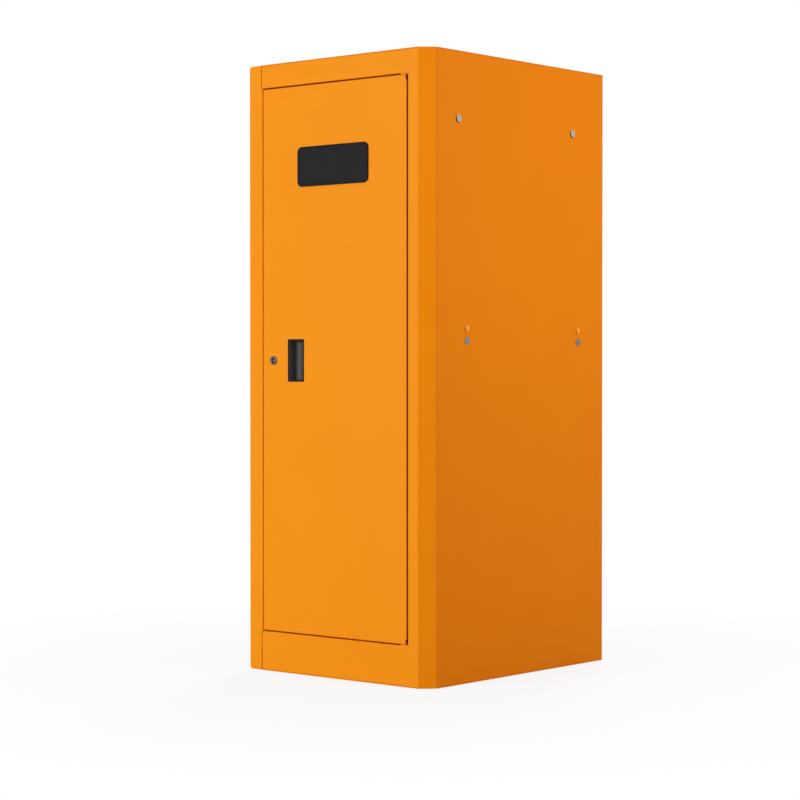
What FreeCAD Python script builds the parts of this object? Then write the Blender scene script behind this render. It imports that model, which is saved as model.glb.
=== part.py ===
import FreeCAD, Part
import math
import os

# Side locker for a tool chest: a folded sheet-steel cabinet with one hinged, lockable door.
# Millimetres. X runs to the right of someone facing the door, Y from front to back, Z up.
# The origin is the middle of the base, on the surface that the cabinet stands on.

Vec = FreeCAD.Vector

# Cabinet
overall_width = 382.0
overall_depth = 462.0
overall_height = 990.0
sheet = 1.2                    # thickness of the walls, the front frame and the door
shell_bend_radius = 5.0        # outside radius of the two rounded corners on the left
seam_gap = 0.8                 # open seam where two outer panels meet
fit_gap = 0.3                  # room left beside a piece that is dropped into place
run_gap = 0.05                 # radial room of a pin or plug that turns in its hole
rear_flange = 15.0             # width of the flanges that the back panel is riveted to
side_flange = 14.0             # width of the right panel's flanges under the top and over the base

# Front frame
left_stile_width = 29.6
stile_step = 2.4               # the left stile is this much narrower beside the rails
right_stile_width = 20.4
chamfer_leg = 21.4             # the right front corner is cut back this far both ways
top_rail_height = 38.2
bottom_rail_height = 64.2
stile_return = 19.0            # how far the stiles are folded back at the door opening
rail_return = 40.0             # how far the rails are folded back at the door opening
return_lip = 10.0              # stiffening lip at the end of each return
rail_weld_flange = 15.0
tuck_flange = 15.0             # the chamfer's flange behind the right panel

# Door
latch_gap = 1.4
hinge_gap = 2.7
level_gap = 2.2                # gap above and below the door
door_depth = 18.0
door_lip = 15.0
door_edge_radius = 0.8
relief_width = 2.0             # corner relief at the hinge side, top and bottom
relief_height = 8.0
relief_depth = 10.0
stiffener_sheet = 1.0
stiffener_crown = 36.0
stiffener_foot = 12.0
stiffener_depth = 13.0
stiffener_end_gap = 18.0

# Hinges
hinge_from_edge = 8.5          # pivot axis, in from the door's hinge edge
hinge_behind_face = 6.0        # pivot axis, behind the door's face
hinge_pin_radius = 2.5
hinge_pin_head_radius = 4.5
hinge_pin_head_height = 2.0
hinge_pin_reach = 8.0          # how far the pin goes into the door
leaf_thickness = 1.5
leaf_tongue_width = 16.0
leaf_pad_width = 34.0
leaf_pad_front = 22.0          # where the wide pad starts, behind the frame's face
leaf_setback = 0.8             # the leaf's front edge, behind the frame's face
leaf_end_gap = 2.0             # the leaf stops this short of the rail's lip
leaf_screw_inset = 8.0
leaf_screw_radius = 2.0
leaf_screw_head_radius = 3.6
leaf_screw_head_height = 2.0
leaf_screw_length = 7.0
bushing_wall = 1.1
bushing_flange = 0.8           # how far the flange stands out past the sleeve
bushing_flange_height = 1.5
bushing_length = 9.0
bushing_stand = 0.4            # how far the sleeve stands out of the door

# Lock
lock_from_edge = 23.4          # lock axis, in from the door's latch edge
lock_height = 507.6
lock_face_radius = 7.5
lock_face_height = 1.4
lock_body_radius = 6.0
lock_plug_radius = 4.2
lock_face_recess = 0.5         # the plug sits this far inside the housing's face
keyway_outer_radius = 3.6
keyway_inner_radius = 2.1
keyway_depth = 4.0
keyway_notch_width = 1.0
lock_nut_across = 17.0
lock_nut_thickness = 3.5
cam_thickness = 2.0
cam_width = 10.0
cam_gap = 0.6                  # the cam clears the stile's lip by this much
cam_overlap = 8.0              # the cam reaches this far behind the stile when locked
cam_square = 5.0               # square end of the plug that drives the cam
cam_screw_head_radius = 4.0
cam_screw_head_height = 2.4
cam_screw_radius = 1.5
cam_screw_length = 7.0

# Handle cup
cup_from_edge = 73.0           # middle of the cup, in from the door's latch edge
cup_width = 35.2
cup_height = 69.0
cup_rim_width = 1.6
cup_rim_height = 0.8
cup_wall = 1.5
cup_depth = 13.0
cup_deep_width = 11.0          # flat floor of the cup, at the latch side
cup_ramp_place = 0.6           # a point on the curved ramp: how far along it ...
cup_ramp_depth = 0.62          # ... and how deep there, as a share of the cup's depth
cup_corner_radius = 1.5
cup_barb_length = 10.0
cup_barb_stand = 1.2
cup_barb_height = 3.0

# Blank badge plate
badge_width = 150.0
badge_height = 64.0
badge_thickness = 2.4
badge_corner_radius = 9.0
badge_rim = 3.5
badge_recess = 0.7
badge_from_door_top = 130.6    # middle of the badge, below the door's top
badge_stud_spacing = 110.0
badge_stud_radius = 1.5
badge_stud_length = 6.0
push_nut_radius = 4.5
push_nut_thickness = 0.8

# Magnetic catches
catch_end_distance = 120.0     # from the door's top and bottom to the catches
catch_height = 44.0
catch_depth = 13.0
catch_edge_radius = 1.0
catch_ear = 9.5                # part of the catch behind the stile's lip
catch_reach = 14.0             # part of the catch behind the door's lip
magnet_width = 9.0
magnet_height = 34.0
magnet_depth = 6.0
strike_thickness = 0.7
strike_height = 40.0
strike_width = 11.0
strike_inset = 1.0             # from the door's latch edge to the strike plate
catch_screw_spacing = 28.0
catch_screw_radius = 1.6
catch_screw_head_radius = 3.2
catch_screw_head_height = 1.8
catch_screw_tip = 4.0          # the screws pass the stile's lip by this much

# Fixing points in the side walls: a front one and a back one at each height
upper_hole_front = 73.0
upper_hole_back = 88.0         # from the back face
upper_hole_from_top = 106.0
upper_hole_radius = 5.0
lower_hole_front = 94.4
lower_hole_back = 72.0
lower_hole_height = 538.2
lower_hole_radius = 3.4
angle_rivet_height = 557.2
angle_rivet_radius = 2.4
angle_rivet_head_radius = 5.5
angle_rivet_head_height = 1.5
angle_bolt_radius = 3.0
angle_bolt_head_radius = 6.2
angle_bolt_head_height = 1.0
angle_bolt_tip = 3.0
angle_nut_across = 10.0
angle_nut_thickness = 5.0
dome_bands = 4                 # conical bands that make up each domed head
rivet_tail = 1.6               # closed tail of a rivet, inside the cabinet
rivet_tail_spread = 1.4        # the tail's radius as a share of the rivet's
plug_head_radius = 6.6
plug_head_height = 1.8
plug_stem_radius = 4.7
plug_wall = 2.0
plug_barb_radius = 4.9
plug_tip_radius = 3.7
plug_barb_length = 3.0

# Hanging strips, shelf angles and floor
strip_thickness = 2.5
strip_height = 40.0
strip_end = 26.0               # the strip runs this far past its holes
angle_thickness = 2.0
angle_leg_height = 39.0
angle_leg_width = 22.0
angle_end = 16.0               # the angle runs this far past its holes
angle_top_above_rivet = 10.0
floor_flange = 20.0

# Shelves and their standards
shelf_sheet = 1.0
shelf_flange = 20.0
shelf_side_gap = 1.5           # between a shelf and the standards
shelf_setback = 52.0           # the shelf's front edge, behind the cabinet's face
shelf_back_gap = 6.0
shelf_edge_radius = 1.6
standard_sheet = 1.0
standard_width = 19.0
standard_depth = 5.5
standard_front = 60.0          # middle of the front standards, behind the cabinet's face
standard_rear = 38.0           # middle of the rear standards, ahead of the cabinet's back
standard_bottom_gap = 16.0
standard_top_gap = 4.0         # between the standards and the hanging strips
slot_pitch = 25.0
slot_width = 4.5
slot_height = 12.0
slot_count_below_clips = 9     # free slots under the lower shelf's clips
slot_count_above_clips = 3     # free slots over the upper shelf's clips
clip_thickness = 1.5
clip_width = 13.0
clip_plate_height = 17.0
clip_tab = 12.0
clip_hook_height = 8.0
clip_hook_depth = 3.0

# Back panel rivets
back_rivet_radius = 2.0
back_rivet_head_radius = 4.0
back_rivet_head_height = 1.2
side_rivet_count = 5
end_rivet_count = 3

# Places worked out from the sizes
left_x = -overall_width / 2
right_x = overall_width / 2
front_y = -overall_depth / 2
back_y = overall_depth / 2
wall_left = left_x + sheet
wall_right = right_x - sheet
back_inside = back_y - 2 * sheet
opening_left = left_x + left_stile_width
opening_right = right_x - chamfer_leg - right_stile_width
opening_top = overall_height - top_rail_height
opening_bottom = bottom_rail_height
door_left = opening_left + latch_gap
door_right = opening_right - hinge_gap
door_top = opening_top - level_gap
door_bottom = opening_bottom + level_gap
door_middle = (door_left + door_right) / 2
door_back = front_y + door_depth
hinge_x = door_right - hinge_from_edge
hinge_y = front_y + hinge_behind_face
lock_x = door_left + lock_from_edge
stile_back = front_y + stile_return
cam_front = stile_back + cam_gap
cup_x = door_left + cup_from_edge
badge_centre_height = door_top - badge_from_door_top
angle_top = angle_rivet_height + angle_top_above_rivet
upper_hole_height = overall_height - upper_hole_from_top
standard_bottom = opening_bottom + standard_bottom_gap
standard_top = upper_hole_height - strip_height / 2 - standard_top_gap
standard_face_left = wall_left + standard_depth
standard_face_right = wall_right - standard_depth
shelf_left = standard_face_left + shelf_side_gap
shelf_right = standard_face_right - shelf_side_gap
shelf_front = front_y + shelf_setback
shelf_back = back_inside - shelf_back_gap
upper_hole_depths = [front_y + upper_hole_front, back_y - upper_hole_back]
lower_hole_depths = [front_y + lower_hole_front, back_y - lower_hole_back]
standard_depths = [front_y + standard_front, back_y - standard_rear]
catch_heights = [door_bottom + catch_end_distance, door_top - catch_end_distance]

RIGHT = Vec(1, 0, 0)
BACK = Vec(0, 1, 0)
UP = Vec(0, 0, 1)


def block(x, y, z):
    """A box between the low and high values given for each axis."""
    corner = Vec(x[0], y[0], z[0])
    return Part.makeBox(x[1] - x[0], y[1] - y[0], z[1] - z[0], corner)


def rod(radius, start, length, direction):
    """A round bar from a point along a direction."""
    return Part.makeCylinder(radius, length, start, direction)


def prism(corners, run):
    """A flat outline with straight sides, pushed along a run."""
    return Part.Face(Part.makePolygon(corners + corners[:1])).extrude(run)


def hexagon(across, thickness, middle, direction, turn_from):
    """A six-sided nut blank with its face on a point."""
    reach = turn_from * (across / math.sqrt(3))
    turn = FreeCAD.Rotation(direction, 60)
    corners = []
    for _ in range(6):
        corners.append(middle + reach)
        reach = turn.multVec(reach)
    return prism(corners, direction * thickness)


def dome(radius, height, base, direction):
    """A shallow round head on a flat face, turned in narrow conical bands along a circular arc."""
    ball_radius = (radius ** 2 + height ** 2) / (2 * height)
    edge_angle = math.asin(radius / ball_radius)
    angles = [edge_angle * (1 - step / dome_bands) for step in range(dome_bands + 1)]
    bands = []
    for low, high in zip(angles, angles[1:]):
        start = base + direction * (ball_radius * math.cos(low) - ball_radius + height)
        rise = ball_radius * (math.cos(high) - math.cos(low))
        bands.append(Part.makeCone(ball_radius * math.sin(low), ball_radius * math.sin(high), rise,
                                   start, direction))
    return joined(bands)


def folded_sheet(path, thickness, run):
    """A folded strip: a bent line on its outer face, its metal on one side, pushed along a run."""
    axis = Vec(run).normalize()
    sides = [axis.cross((end - start).normalize()) for start, end in zip(path, path[1:])]
    inner = [path[0] + sides[0] * thickness]
    for point, before, after in zip(path[1:], sides, sides[1:]):
        inner.append(point + (before + after) * (thickness / (1 + before.dot(after))))
    inner.append(path[-1] + sides[-1] * thickness)
    return prism(path + inner[::-1], run)


def rounded(shape, radius, chosen):
    """The shape with each edge rounded whose middle point is chosen."""
    edges = [edge for edge in shape.Edges if chosen(edge.CenterOfMass)]
    return shape.makeFillet(radius, edges)


def joined(pieces):
    """Touching pieces made into one solid."""
    return pieces[0].fuse(pieces[1:]).removeSplitter()


def with_holes(shape, tools):
    """The shape with every tool cut away."""
    return shape.cut(tools)


def group(pieces):
    """Separate solids kept together in one node."""
    return Part.makeCompound(pieces)


def near(value, target):
    """Whether two lengths are the same."""
    return abs(value - target) < 0.001


# ---------------------------------------------------------------- cabinet walls


def cabinet_outline():
    """The cabinet's outside as a block, with the rounded corners on its left."""
    outline = block((left_x, right_x), (front_y, back_y), (0, overall_height))
    return rounded(outline, shell_bend_radius,
                   lambda middle: near(middle.x, left_x) and near(middle.y, 0)
                   and not near(middle.z, overall_height / 2))


def cabinet_hollow():
    """The room inside the folded shell, open at the front, the back and the right."""
    hollow = block((wall_left, right_x + sheet), (front_y - sheet, back_y + sheet),
                   (sheet, overall_height - sheet))
    return rounded(hollow, shell_bend_radius - sheet,
                   lambda middle: near(middle.x, wall_left) and near(middle.y, 0)
                   and not near(middle.z, overall_height / 2))


def chamfer_cutter():
    """The three-cornered prism that is missing from the right front corner."""
    start = Vec(right_x - chamfer_leg, front_y, -sheet)
    end = Vec(right_x, front_y + chamfer_leg, -sheet)
    spill = Vec(chamfer_leg, -chamfer_leg, 0)
    return prism([start, end, end + spill, start + spill], UP * (overall_height + 2 * sheet))


def left_stile():
    """The shell's front flange beside the door, with its return and its stiffening lip."""
    narrow = opening_left - stile_step
    between = (opening_bottom + fit_gap, opening_top - fit_gap)
    face = block((left_x, narrow), (front_y, front_y + sheet), (0, overall_height))
    step = block((left_x, opening_left), (front_y, front_y + sheet), between)
    back = block((opening_left - sheet, opening_left), (front_y, stile_back), between)
    lip = block((opening_left - return_lip, opening_left), (stile_back - sheet, stile_back), between)
    return [face, step, back, lip]


def shell_rear_flanges():
    """Flanges round three sides of the back, which the back panel is riveted to."""
    depth = (back_y - sheet, back_y)
    across = (left_x, right_x - rear_flange - fit_gap)
    left = block((left_x, left_x + rear_flange), depth, (0, overall_height))
    top = block(across, depth, (overall_height - rear_flange, overall_height))
    bottom = block(across, depth, (0, rear_flange))
    return [left, top, bottom]


def wall_hole(side_x, depth, height, radius):
    """A drill that passes through one side wall and whatever lies against it."""
    reach = sheet + strip_thickness + angle_thickness
    return rod(radius, Vec(side_x - reach, depth, height), 2 * reach, RIGHT)


def side_wall_holes(side_x):
    """The two upper holes, the two lower holes and the two rivet holes of a side wall."""
    upper = [wall_hole(side_x, depth, upper_hole_height, upper_hole_radius) for depth in upper_hole_depths]
    lower = [wall_hole(side_x, depth, lower_hole_height, lower_hole_radius) for depth in lower_hole_depths]
    rivets = [wall_hole(side_x, depth, angle_rivet_height, angle_rivet_radius) for depth in lower_hole_depths]
    return upper + lower + rivets


def back_rivet_places():
    """Where the back panel's rivets go, spread evenly along each rear flange."""
    inset = rear_flange / 2
    places = []
    for x in (left_x + inset, right_x - inset):
        step = (overall_height - 4 * rear_flange) / (side_rivet_count - 1)
        places += [(x, 2 * rear_flange + index * step) for index in range(side_rivet_count)]
    for z in (inset, overall_height - inset):
        step = overall_width / (end_rivet_count + 1)
        places += [(left_x + (index + 1) * step, z) for index in range(end_rivet_count)]
    return places


def back_rivet_holes():
    """Drills for the back panel's rivets."""
    start = back_y - 4 * sheet
    return [rod(back_rivet_radius, Vec(x, start, z), 6 * sheet, BACK) for x, z in back_rivet_places()]


def body_shell():
    """Top, left wall and base folded from one sheet, with the left stile and the rear flanges."""
    outline = cabinet_outline()
    wrap = outline.cut(cabinet_hollow())
    flanges = [piece.common(outline) for piece in left_stile() + shell_rear_flanges()]
    shell = joined([wrap] + flanges).cut(chamfer_cutter())
    seam_x = opening_left - stile_step
    drain = block((seam_x, seam_x + seam_gap), (front_y - sheet, front_y + 2 * sheet), (-sheet, 2 * sheet))
    return with_holes(shell, side_wall_holes(left_x) + back_rivet_holes() + [drain])


def right_side_panel():
    """The right wall with flanges under the top, over the base and at the back."""
    start = front_y + chamfer_leg - sheet + seam_gap / 2
    clear_of_frame = front_y + chamfer_leg + tuck_flange + fit_gap
    height = (sheet, overall_height - sheet)
    inward = (right_x - side_flange, right_x)
    wall = block((wall_right, right_x), (start, back_y), height)
    top = block(inward, (clear_of_frame, back_y), (height[1] - sheet, height[1]))
    bottom = block(inward, (clear_of_frame, back_y), (height[0], height[0] + sheet))
    rear = block((right_x - rear_flange, right_x), (back_y - sheet, back_y), height)
    panel = joined([wall, top, bottom, rear])
    return with_holes(panel, side_wall_holes(right_x) + back_rivet_holes())


def frame_rail(start_x, run, outer_z, inner_z, lip_z):
    """A front rail: weld flange, face, return under or over the door, and stiffening lip."""
    path = [
        Vec(start_x, front_y + rail_weld_flange, outer_z),
        Vec(start_x, front_y, outer_z),
        Vec(start_x, front_y, inner_z),
        Vec(start_x, front_y + rail_return, inner_z),
        Vec(start_x, front_y + rail_return, lip_z),
    ]
    return folded_sheet(path, sheet, run)


def frame_stile():
    """The right stile, folded back at the opening and round the chamfer behind the right panel."""
    bottom = sheet
    path = [
        Vec(opening_right + return_lip, stile_back, bottom),
        Vec(opening_right, stile_back, bottom),
        Vec(opening_right, front_y, bottom),
        Vec(right_x - chamfer_leg, front_y, bottom),
        Vec(wall_right, front_y + chamfer_leg - sheet, bottom),
        Vec(wall_right, front_y + chamfer_leg + tuck_flange, bottom),
    ]
    return folded_sheet(path, sheet, UP * (overall_height - 2 * sheet))


def hinge_pin_hole():
    """The drill for both hinge pins, right through the frame."""
    return rod(hinge_pin_radius, Vec(hinge_x, hinge_y, 0), overall_height, UP)


def leaf_screw_places():
    """Where the screws of one hinge leaf go."""
    y = front_y + (leaf_pad_front + rail_return - leaf_end_gap) / 2
    first = opening_right - leaf_screw_inset
    second = opening_right - leaf_pad_width + leaf_screw_inset
    return [(first, y), (second, y)]


def leaf_screw_holes():
    """Drills for the screws of both hinge leaves, through the rails' returns."""
    tools = []
    for x, y in leaf_screw_places():
        for z in (opening_bottom, opening_top):
            tools.append(rod(leaf_screw_radius, Vec(x, y, z - 2 * leaf_thickness), 4 * leaf_thickness, UP))
    return tools


def front_frame():
    """Top rail, right stile with its chamfer, and bottom rail, welded into one frame."""
    rail_left = opening_left - stile_step + seam_gap
    rail_right = right_x - chamfer_leg
    length = rail_right - rail_left
    top = frame_rail(rail_left, RIGHT * length, overall_height - sheet, opening_top,
                     opening_top + return_lip)
    bottom = frame_rail(rail_right, RIGHT * -length, sheet, opening_bottom, opening_bottom - return_lip)
    frame = joined([frame_stile(), top, bottom])
    return with_holes(frame, [hinge_pin_hole()] + leaf_screw_holes())


def back_panel():
    """The flat back, inside the rear flanges."""
    panel = block((wall_left + fit_gap, wall_right - fit_gap), (back_inside, back_y - sheet),
                  (2 * sheet + fit_gap, overall_height - 2 * sheet - fit_gap))
    corners = rounded(panel, shell_bend_radius,
                      lambda middle: near(middle.y, back_inside + sheet / 2) and middle.x < 0)
    return with_holes(corners, back_rivet_holes())


def back_panel_rivets():
    """Domed rivets through the rear flanges and the back panel."""
    rivets = []
    for x, z in back_rivet_places():
        head = dome(back_rivet_head_radius, back_rivet_head_height, Vec(x, back_y, z), BACK)
        shank = rod(back_rivet_radius, Vec(x, back_inside, z), 2 * sheet, BACK)
        tail = dome(rivet_tail_spread * back_rivet_radius, rivet_tail, Vec(x, back_inside, z), BACK * -1)
        rivets.append(joined([shank, head, tail]))
    return group(rivets)


def floor_pan():
    """The locker's floor, level with the bottom rail, with flanges turned down all round."""
    x = (wall_left, wall_right)
    y = (front_y + rail_return, back_inside)
    outer = block(x, y, (opening_bottom - floor_flange, opening_bottom))
    inner = block((x[0] + sheet, x[1] - sheet), (y[0] + sheet, y[1] - sheet),
                  (opening_bottom - floor_flange - sheet, opening_bottom - sheet))
    return outer.cut(inner)


# ---------------------------------------------------------------- side wall fixings


def hanging_strip(side):
    """A stiff strip behind the two upper holes of one wall, which carries the locker's weight."""
    face = wall_left if side < 0 else wall_right
    x = sorted((face, face - side * strip_thickness))
    y = (upper_hole_depths[0] - strip_end, upper_hole_depths[-1] + strip_end)
    strip = block(x, y, (upper_hole_height - strip_height / 2, upper_hole_height + strip_height / 2))
    return with_holes(strip, side_wall_holes(side * right_x)[:2])


def shelf_angle(side):
    """An angle riveted to one wall, on which the fixed middle shelf rests."""
    face = wall_left if side < 0 else wall_right
    y = (lower_hole_depths[0] - angle_end, lower_hole_depths[-1] + angle_end)
    leg = block(sorted((face, face - side * angle_thickness)), y, (angle_top - angle_leg_height, angle_top))
    ledge = block(sorted((face, face - side * angle_leg_width)), y, (angle_top - angle_thickness, angle_top))
    return with_holes(joined([leg, ledge]), side_wall_holes(side * right_x)[2:])


def shelf_angle_rivets():
    """Painted rivets that hold both angles, with their heads outside."""
    rivets = []
    for side in (-1, 1):
        outward = RIGHT * side
        for depth in lower_hole_depths:
            outside = Vec(side * right_x, depth, angle_rivet_height)
            inside = outside - outward * (sheet + angle_thickness)
            head = dome(angle_rivet_head_radius, angle_rivet_head_height, outside, outward)
            shank = rod(angle_rivet_radius, inside, sheet + angle_thickness, outward)
            tail = dome(rivet_tail_spread * angle_rivet_radius, rivet_tail, inside, outward * -1)
            rivets.append(joined([shank, head, tail]))
    return group(rivets)


def shelf_angle_bolts():
    """Flat-headed bolts that fill the lower holes of the right wall."""
    bolts = []
    for depth in lower_hole_depths:
        outside = Vec(right_x, depth, lower_hole_height)
        head = rod(angle_bolt_head_radius, outside, angle_bolt_head_height, RIGHT)
        soft_head = rounded(head, angle_bolt_head_height / 2,
                            lambda middle: middle.x > right_x + angle_bolt_head_height / 2)
        length = sheet + angle_thickness + angle_nut_thickness + angle_bolt_tip
        shank = rod(angle_bolt_radius, outside, length, RIGHT * -1)
        bolts.append(joined([shank, soft_head]))
    return group(bolts)


def shelf_angle_nuts():
    """Nuts on the flat-headed bolts, inside the right angle."""
    nuts = []
    for depth in lower_hole_depths:
        seat = Vec(wall_right - angle_thickness, depth, lower_hole_height)
        nut = hexagon(angle_nut_across, angle_nut_thickness, seat, RIGHT * -1, UP)
        nuts.append(nut.cut(rod(angle_bolt_radius, seat, angle_nut_thickness, RIGHT * -1)))
    return group(nuts)


def upper_hole_plugs():
    """Domed snap-in plugs in the two upper holes of the right wall."""
    plugs = []
    through = sheet + strip_thickness
    for depth in upper_hole_depths:
        outside = Vec(right_x, depth, upper_hole_height)
        inside = outside - RIGHT * through
        head = dome(plug_head_radius, plug_head_height, outside, RIGHT)
        stem = rod(plug_stem_radius, inside, through, RIGHT)
        barb = Part.makeCone(plug_barb_radius, plug_tip_radius, plug_barb_length, inside, RIGHT * -1)
        bore = rod(plug_stem_radius - plug_wall, inside - RIGHT * plug_barb_length, through + plug_barb_length, RIGHT)
        plugs.append(joined([head, stem, barb]).cut(bore))
    return group(plugs)


# ---------------------------------------------------------------- shelves


def shelf(top):
    """A shelf pan with flanges turned down all round, at a height of its top face."""
    outer = block((shelf_left, shelf_right), (shelf_front, shelf_back), (top - shelf_flange, top))
    soft = rounded(outer, shelf_edge_radius,
                   lambda middle: near(middle.z, top) and not near(middle.y, shelf_back))
    inner = block((shelf_left + shelf_sheet, shelf_right - shelf_sheet),
                  (shelf_front + shelf_sheet, shelf_back - shelf_sheet),
                  (top - shelf_flange - shelf_sheet, top - shelf_sheet))
    return soft.cut(inner)


def slot_heights():
    """The middles of the slots up one standard."""
    count = int((standard_top - standard_bottom - slot_pitch) // slot_pitch) + 1
    first = standard_bottom + slot_pitch / 2
    return [first + index * slot_pitch for index in range(count)]


def clip_slots():
    """The heights of the two slots in each standard that hold clips, the lower one first."""
    heights = slot_heights()
    return [heights[slot_count_below_clips], heights[-1 - slot_count_above_clips]]


def clip_shelf_top(slot_z):
    """The top face of a shelf whose clips hang in a slot with this middle."""
    return slot_z - slot_height / 2 + clip_thickness + shelf_flange


def shelf_standards(side):
    """The front and rear slotted uprights on one wall."""
    wall = wall_left if side < 0 else wall_right
    inward = RIGHT * -side
    standards = []
    for depth in standard_depths:
        half = standard_width / 2
        x = sorted((wall, wall - side * standard_depth))
        hollow_x = sorted((wall + side * standard_sheet, wall - side * (standard_depth - standard_sheet)))
        y = (depth - half, depth + half)
        outer = block(x, y, (standard_bottom, standard_top))
        hollow = block(hollow_x, (y[0] + standard_sheet, y[1] - standard_sheet),
                       (standard_bottom - standard_sheet, standard_top + standard_sheet))
        face = Vec(wall, depth, 0) + inward * (standard_depth / 2)
        slot_x = sorted((face.x, face.x - side * standard_depth))
        slots = [block(slot_x, (depth - slot_width / 2, depth + slot_width / 2),
                       (z - slot_height / 2, z + slot_height / 2)) for z in slot_heights()]
        standards.append(outer.cut([hollow] + slots))
    return group(standards)


def shelf_clip(side, depth, slot_z):
    """A bent clip: a plate on the standard, a hook through the slot and a tab under the shelf."""
    face = standard_face_left if side < 0 else standard_face_right
    bottom = slot_z - slot_height / 2
    y = (depth - clip_width / 2, depth + clip_width / 2)
    hook_y = (depth - slot_width / 2 + fit_gap, depth + slot_width / 2 - fit_gap)
    plate = block(sorted((face, face - side * clip_thickness)), y, (bottom, bottom + clip_plate_height))
    tab = block(sorted((face, face - side * (clip_tab + clip_thickness))), y,
                (bottom, bottom + clip_thickness))
    hook = block(sorted((face, face + side * clip_hook_depth)), hook_y,
                 (bottom, bottom + clip_hook_height))
    return joined([plate, tab, hook])


def shelf_clips():
    """Four clips under each of the two movable shelves."""
    clips = []
    for slot_z in clip_slots():
        for side in (-1, 1):
            for depth in standard_depths:
                clips.append(shelf_clip(side, depth, slot_z))
    return group(clips)


# ---------------------------------------------------------------- door


def door_cup_cutout(spill):
    """The window in the door's face that the handle cup snaps into."""
    half_width = cup_width / 2 - cup_rim_width
    half_height = cup_height / 2 - cup_rim_width
    return block((cup_x - half_width, cup_x + half_width), (front_y - spill, front_y + sheet + spill),
                 (lock_height - half_height, lock_height + half_height))


def badge_stud_places():
    """Where the badge's two studs pass through the door's face."""
    return [door_middle - badge_stud_spacing / 2, door_middle + badge_stud_spacing / 2]


def corner_reliefs():
    """The small notches at the door's two hinge-side corners."""
    x = (door_right - relief_width, door_right + sheet)
    y = (front_y - sheet, front_y + relief_depth)
    top = block(x, y, (door_top - relief_height, door_top + sheet))
    bottom = block(x, y, (door_bottom - sheet, door_bottom + relief_height))
    return [top, bottom]


def door_pan():
    """The door's skin, folded back on four sides with a lip at the back."""
    outer = block((door_left, door_right), (front_y, door_back), (door_bottom, door_top))
    soft = rounded(outer, door_edge_radius, lambda middle: near(middle.y, front_y))
    hollow = block((door_left + sheet, door_right - sheet), (front_y + sheet, door_back - sheet),
                   (door_bottom + sheet, door_top - sheet))
    window = block((door_left + door_lip, door_right - door_lip), (door_back - 2 * sheet, door_back + sheet),
                   (door_bottom + door_lip, door_top - door_lip))
    sleeve_radius = hinge_pin_radius + run_gap + bushing_wall
    pivot = rod(sleeve_radius, Vec(hinge_x, hinge_y, door_bottom - sheet),
                door_top - door_bottom + 2 * sheet, UP)
    lock_hole = rod(lock_body_radius, Vec(lock_x, front_y - sheet, lock_height), 3 * sheet, BACK)
    studs = [rod(badge_stud_radius, Vec(x, front_y - sheet, badge_centre_height), 3 * sheet, BACK)
             for x in badge_stud_places()]
    return with_holes(soft, [hollow, window, pivot, lock_hole, door_cup_cutout(sheet)]
                      + studs + corner_reliefs())


def door_stiffener():
    """A hat-shaped channel up the middle of the door, behind its skin."""
    skin = front_y + sheet
    half = stiffener_crown / 2
    foot = half + stiffener_foot
    bottom = door_bottom + stiffener_end_gap
    path = [
        Vec(door_middle - foot, skin, bottom),
        Vec(door_middle - half, skin, bottom),
        Vec(door_middle - half, skin + stiffener_depth, bottom),
        Vec(door_middle + half, skin + stiffener_depth, bottom),
        Vec(door_middle + half, skin, bottom),
        Vec(door_middle + foot, skin, bottom),
    ]
    flat = [Vec(point.x, point.y, 0) for point in path]
    height = door_top - door_bottom - 2 * stiffener_end_gap
    channel = folded_sheet(flat, stiffener_sheet, UP * height)
    channel.translate(UP * bottom)
    return channel


def badge_plate():
    """A plain oblong badge with a raised rim and two studs."""
    half_width = badge_width / 2
    half_height = badge_height / 2
    front = front_y - badge_thickness
    plate = block((door_middle - half_width, door_middle + half_width), (front, front_y),
                  (badge_centre_height - half_height, badge_centre_height + half_height))
    field = block((door_middle - half_width + badge_rim, door_middle + half_width - badge_rim),
                  (front - badge_recess, front + badge_recess),
                  (badge_centre_height - half_height + badge_rim,
                   badge_centre_height + half_height - badge_rim))
    plate = rounded(plate, badge_corner_radius, lambda middle: near(middle.z, badge_centre_height) is False
                    and near(middle.x, door_middle) is False)
    field = rounded(field, badge_corner_radius - badge_rim, lambda middle: near(middle.y, front))
    studs = [rod(badge_stud_radius, Vec(x, front_y - badge_recess, badge_centre_height),
                 badge_stud_length + badge_recess, BACK) for x in badge_stud_places()]
    return joined([plate.cut(field)] + studs)


def badge_push_nuts():
    """Round push nuts that hold the badge's studs behind the door's face."""
    nuts = []
    for x in badge_stud_places():
        seat = Vec(x, front_y + sheet, badge_centre_height)
        disc = rod(push_nut_radius, seat, push_nut_thickness, BACK)
        nuts.append(disc.cut(rod(badge_stud_radius, seat, push_nut_thickness, BACK)))
    return group(nuts)


def cup_section(left, right, front, deep, wall):
    """The cup's section seen from above: deep at the latch side, rising in a curve to the right."""
    z = lock_height - cup_height / 2
    floor_end = left + wall + cup_deep_width
    a = Vec(left, front, z)
    b = Vec(left, deep, z)
    c = Vec(floor_end, deep, z)
    d = Vec(right, front, z)
    sag = Vec(floor_end + cup_ramp_place * (right - floor_end), front + cup_ramp_depth * (deep - front), z)
    edges = [Part.makeLine(a, b), Part.makeLine(b, c), Part.Arc(c, sag, d).toShape(), Part.makeLine(d, a)]
    return Part.Face(Part.Wire(edges))


def cup_solid(margin, front, deep):
    """The cup's scooped form inside a margin from its outline."""
    left = cup_x - cup_width / 2 + margin
    right = cup_x + cup_width / 2 - margin
    section = cup_section(left, right, front, deep, cup_rim_width + cup_wall - margin)
    form = section.extrude(UP * (cup_height - 2 * margin))
    form.translate(UP * margin)
    return form


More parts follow.
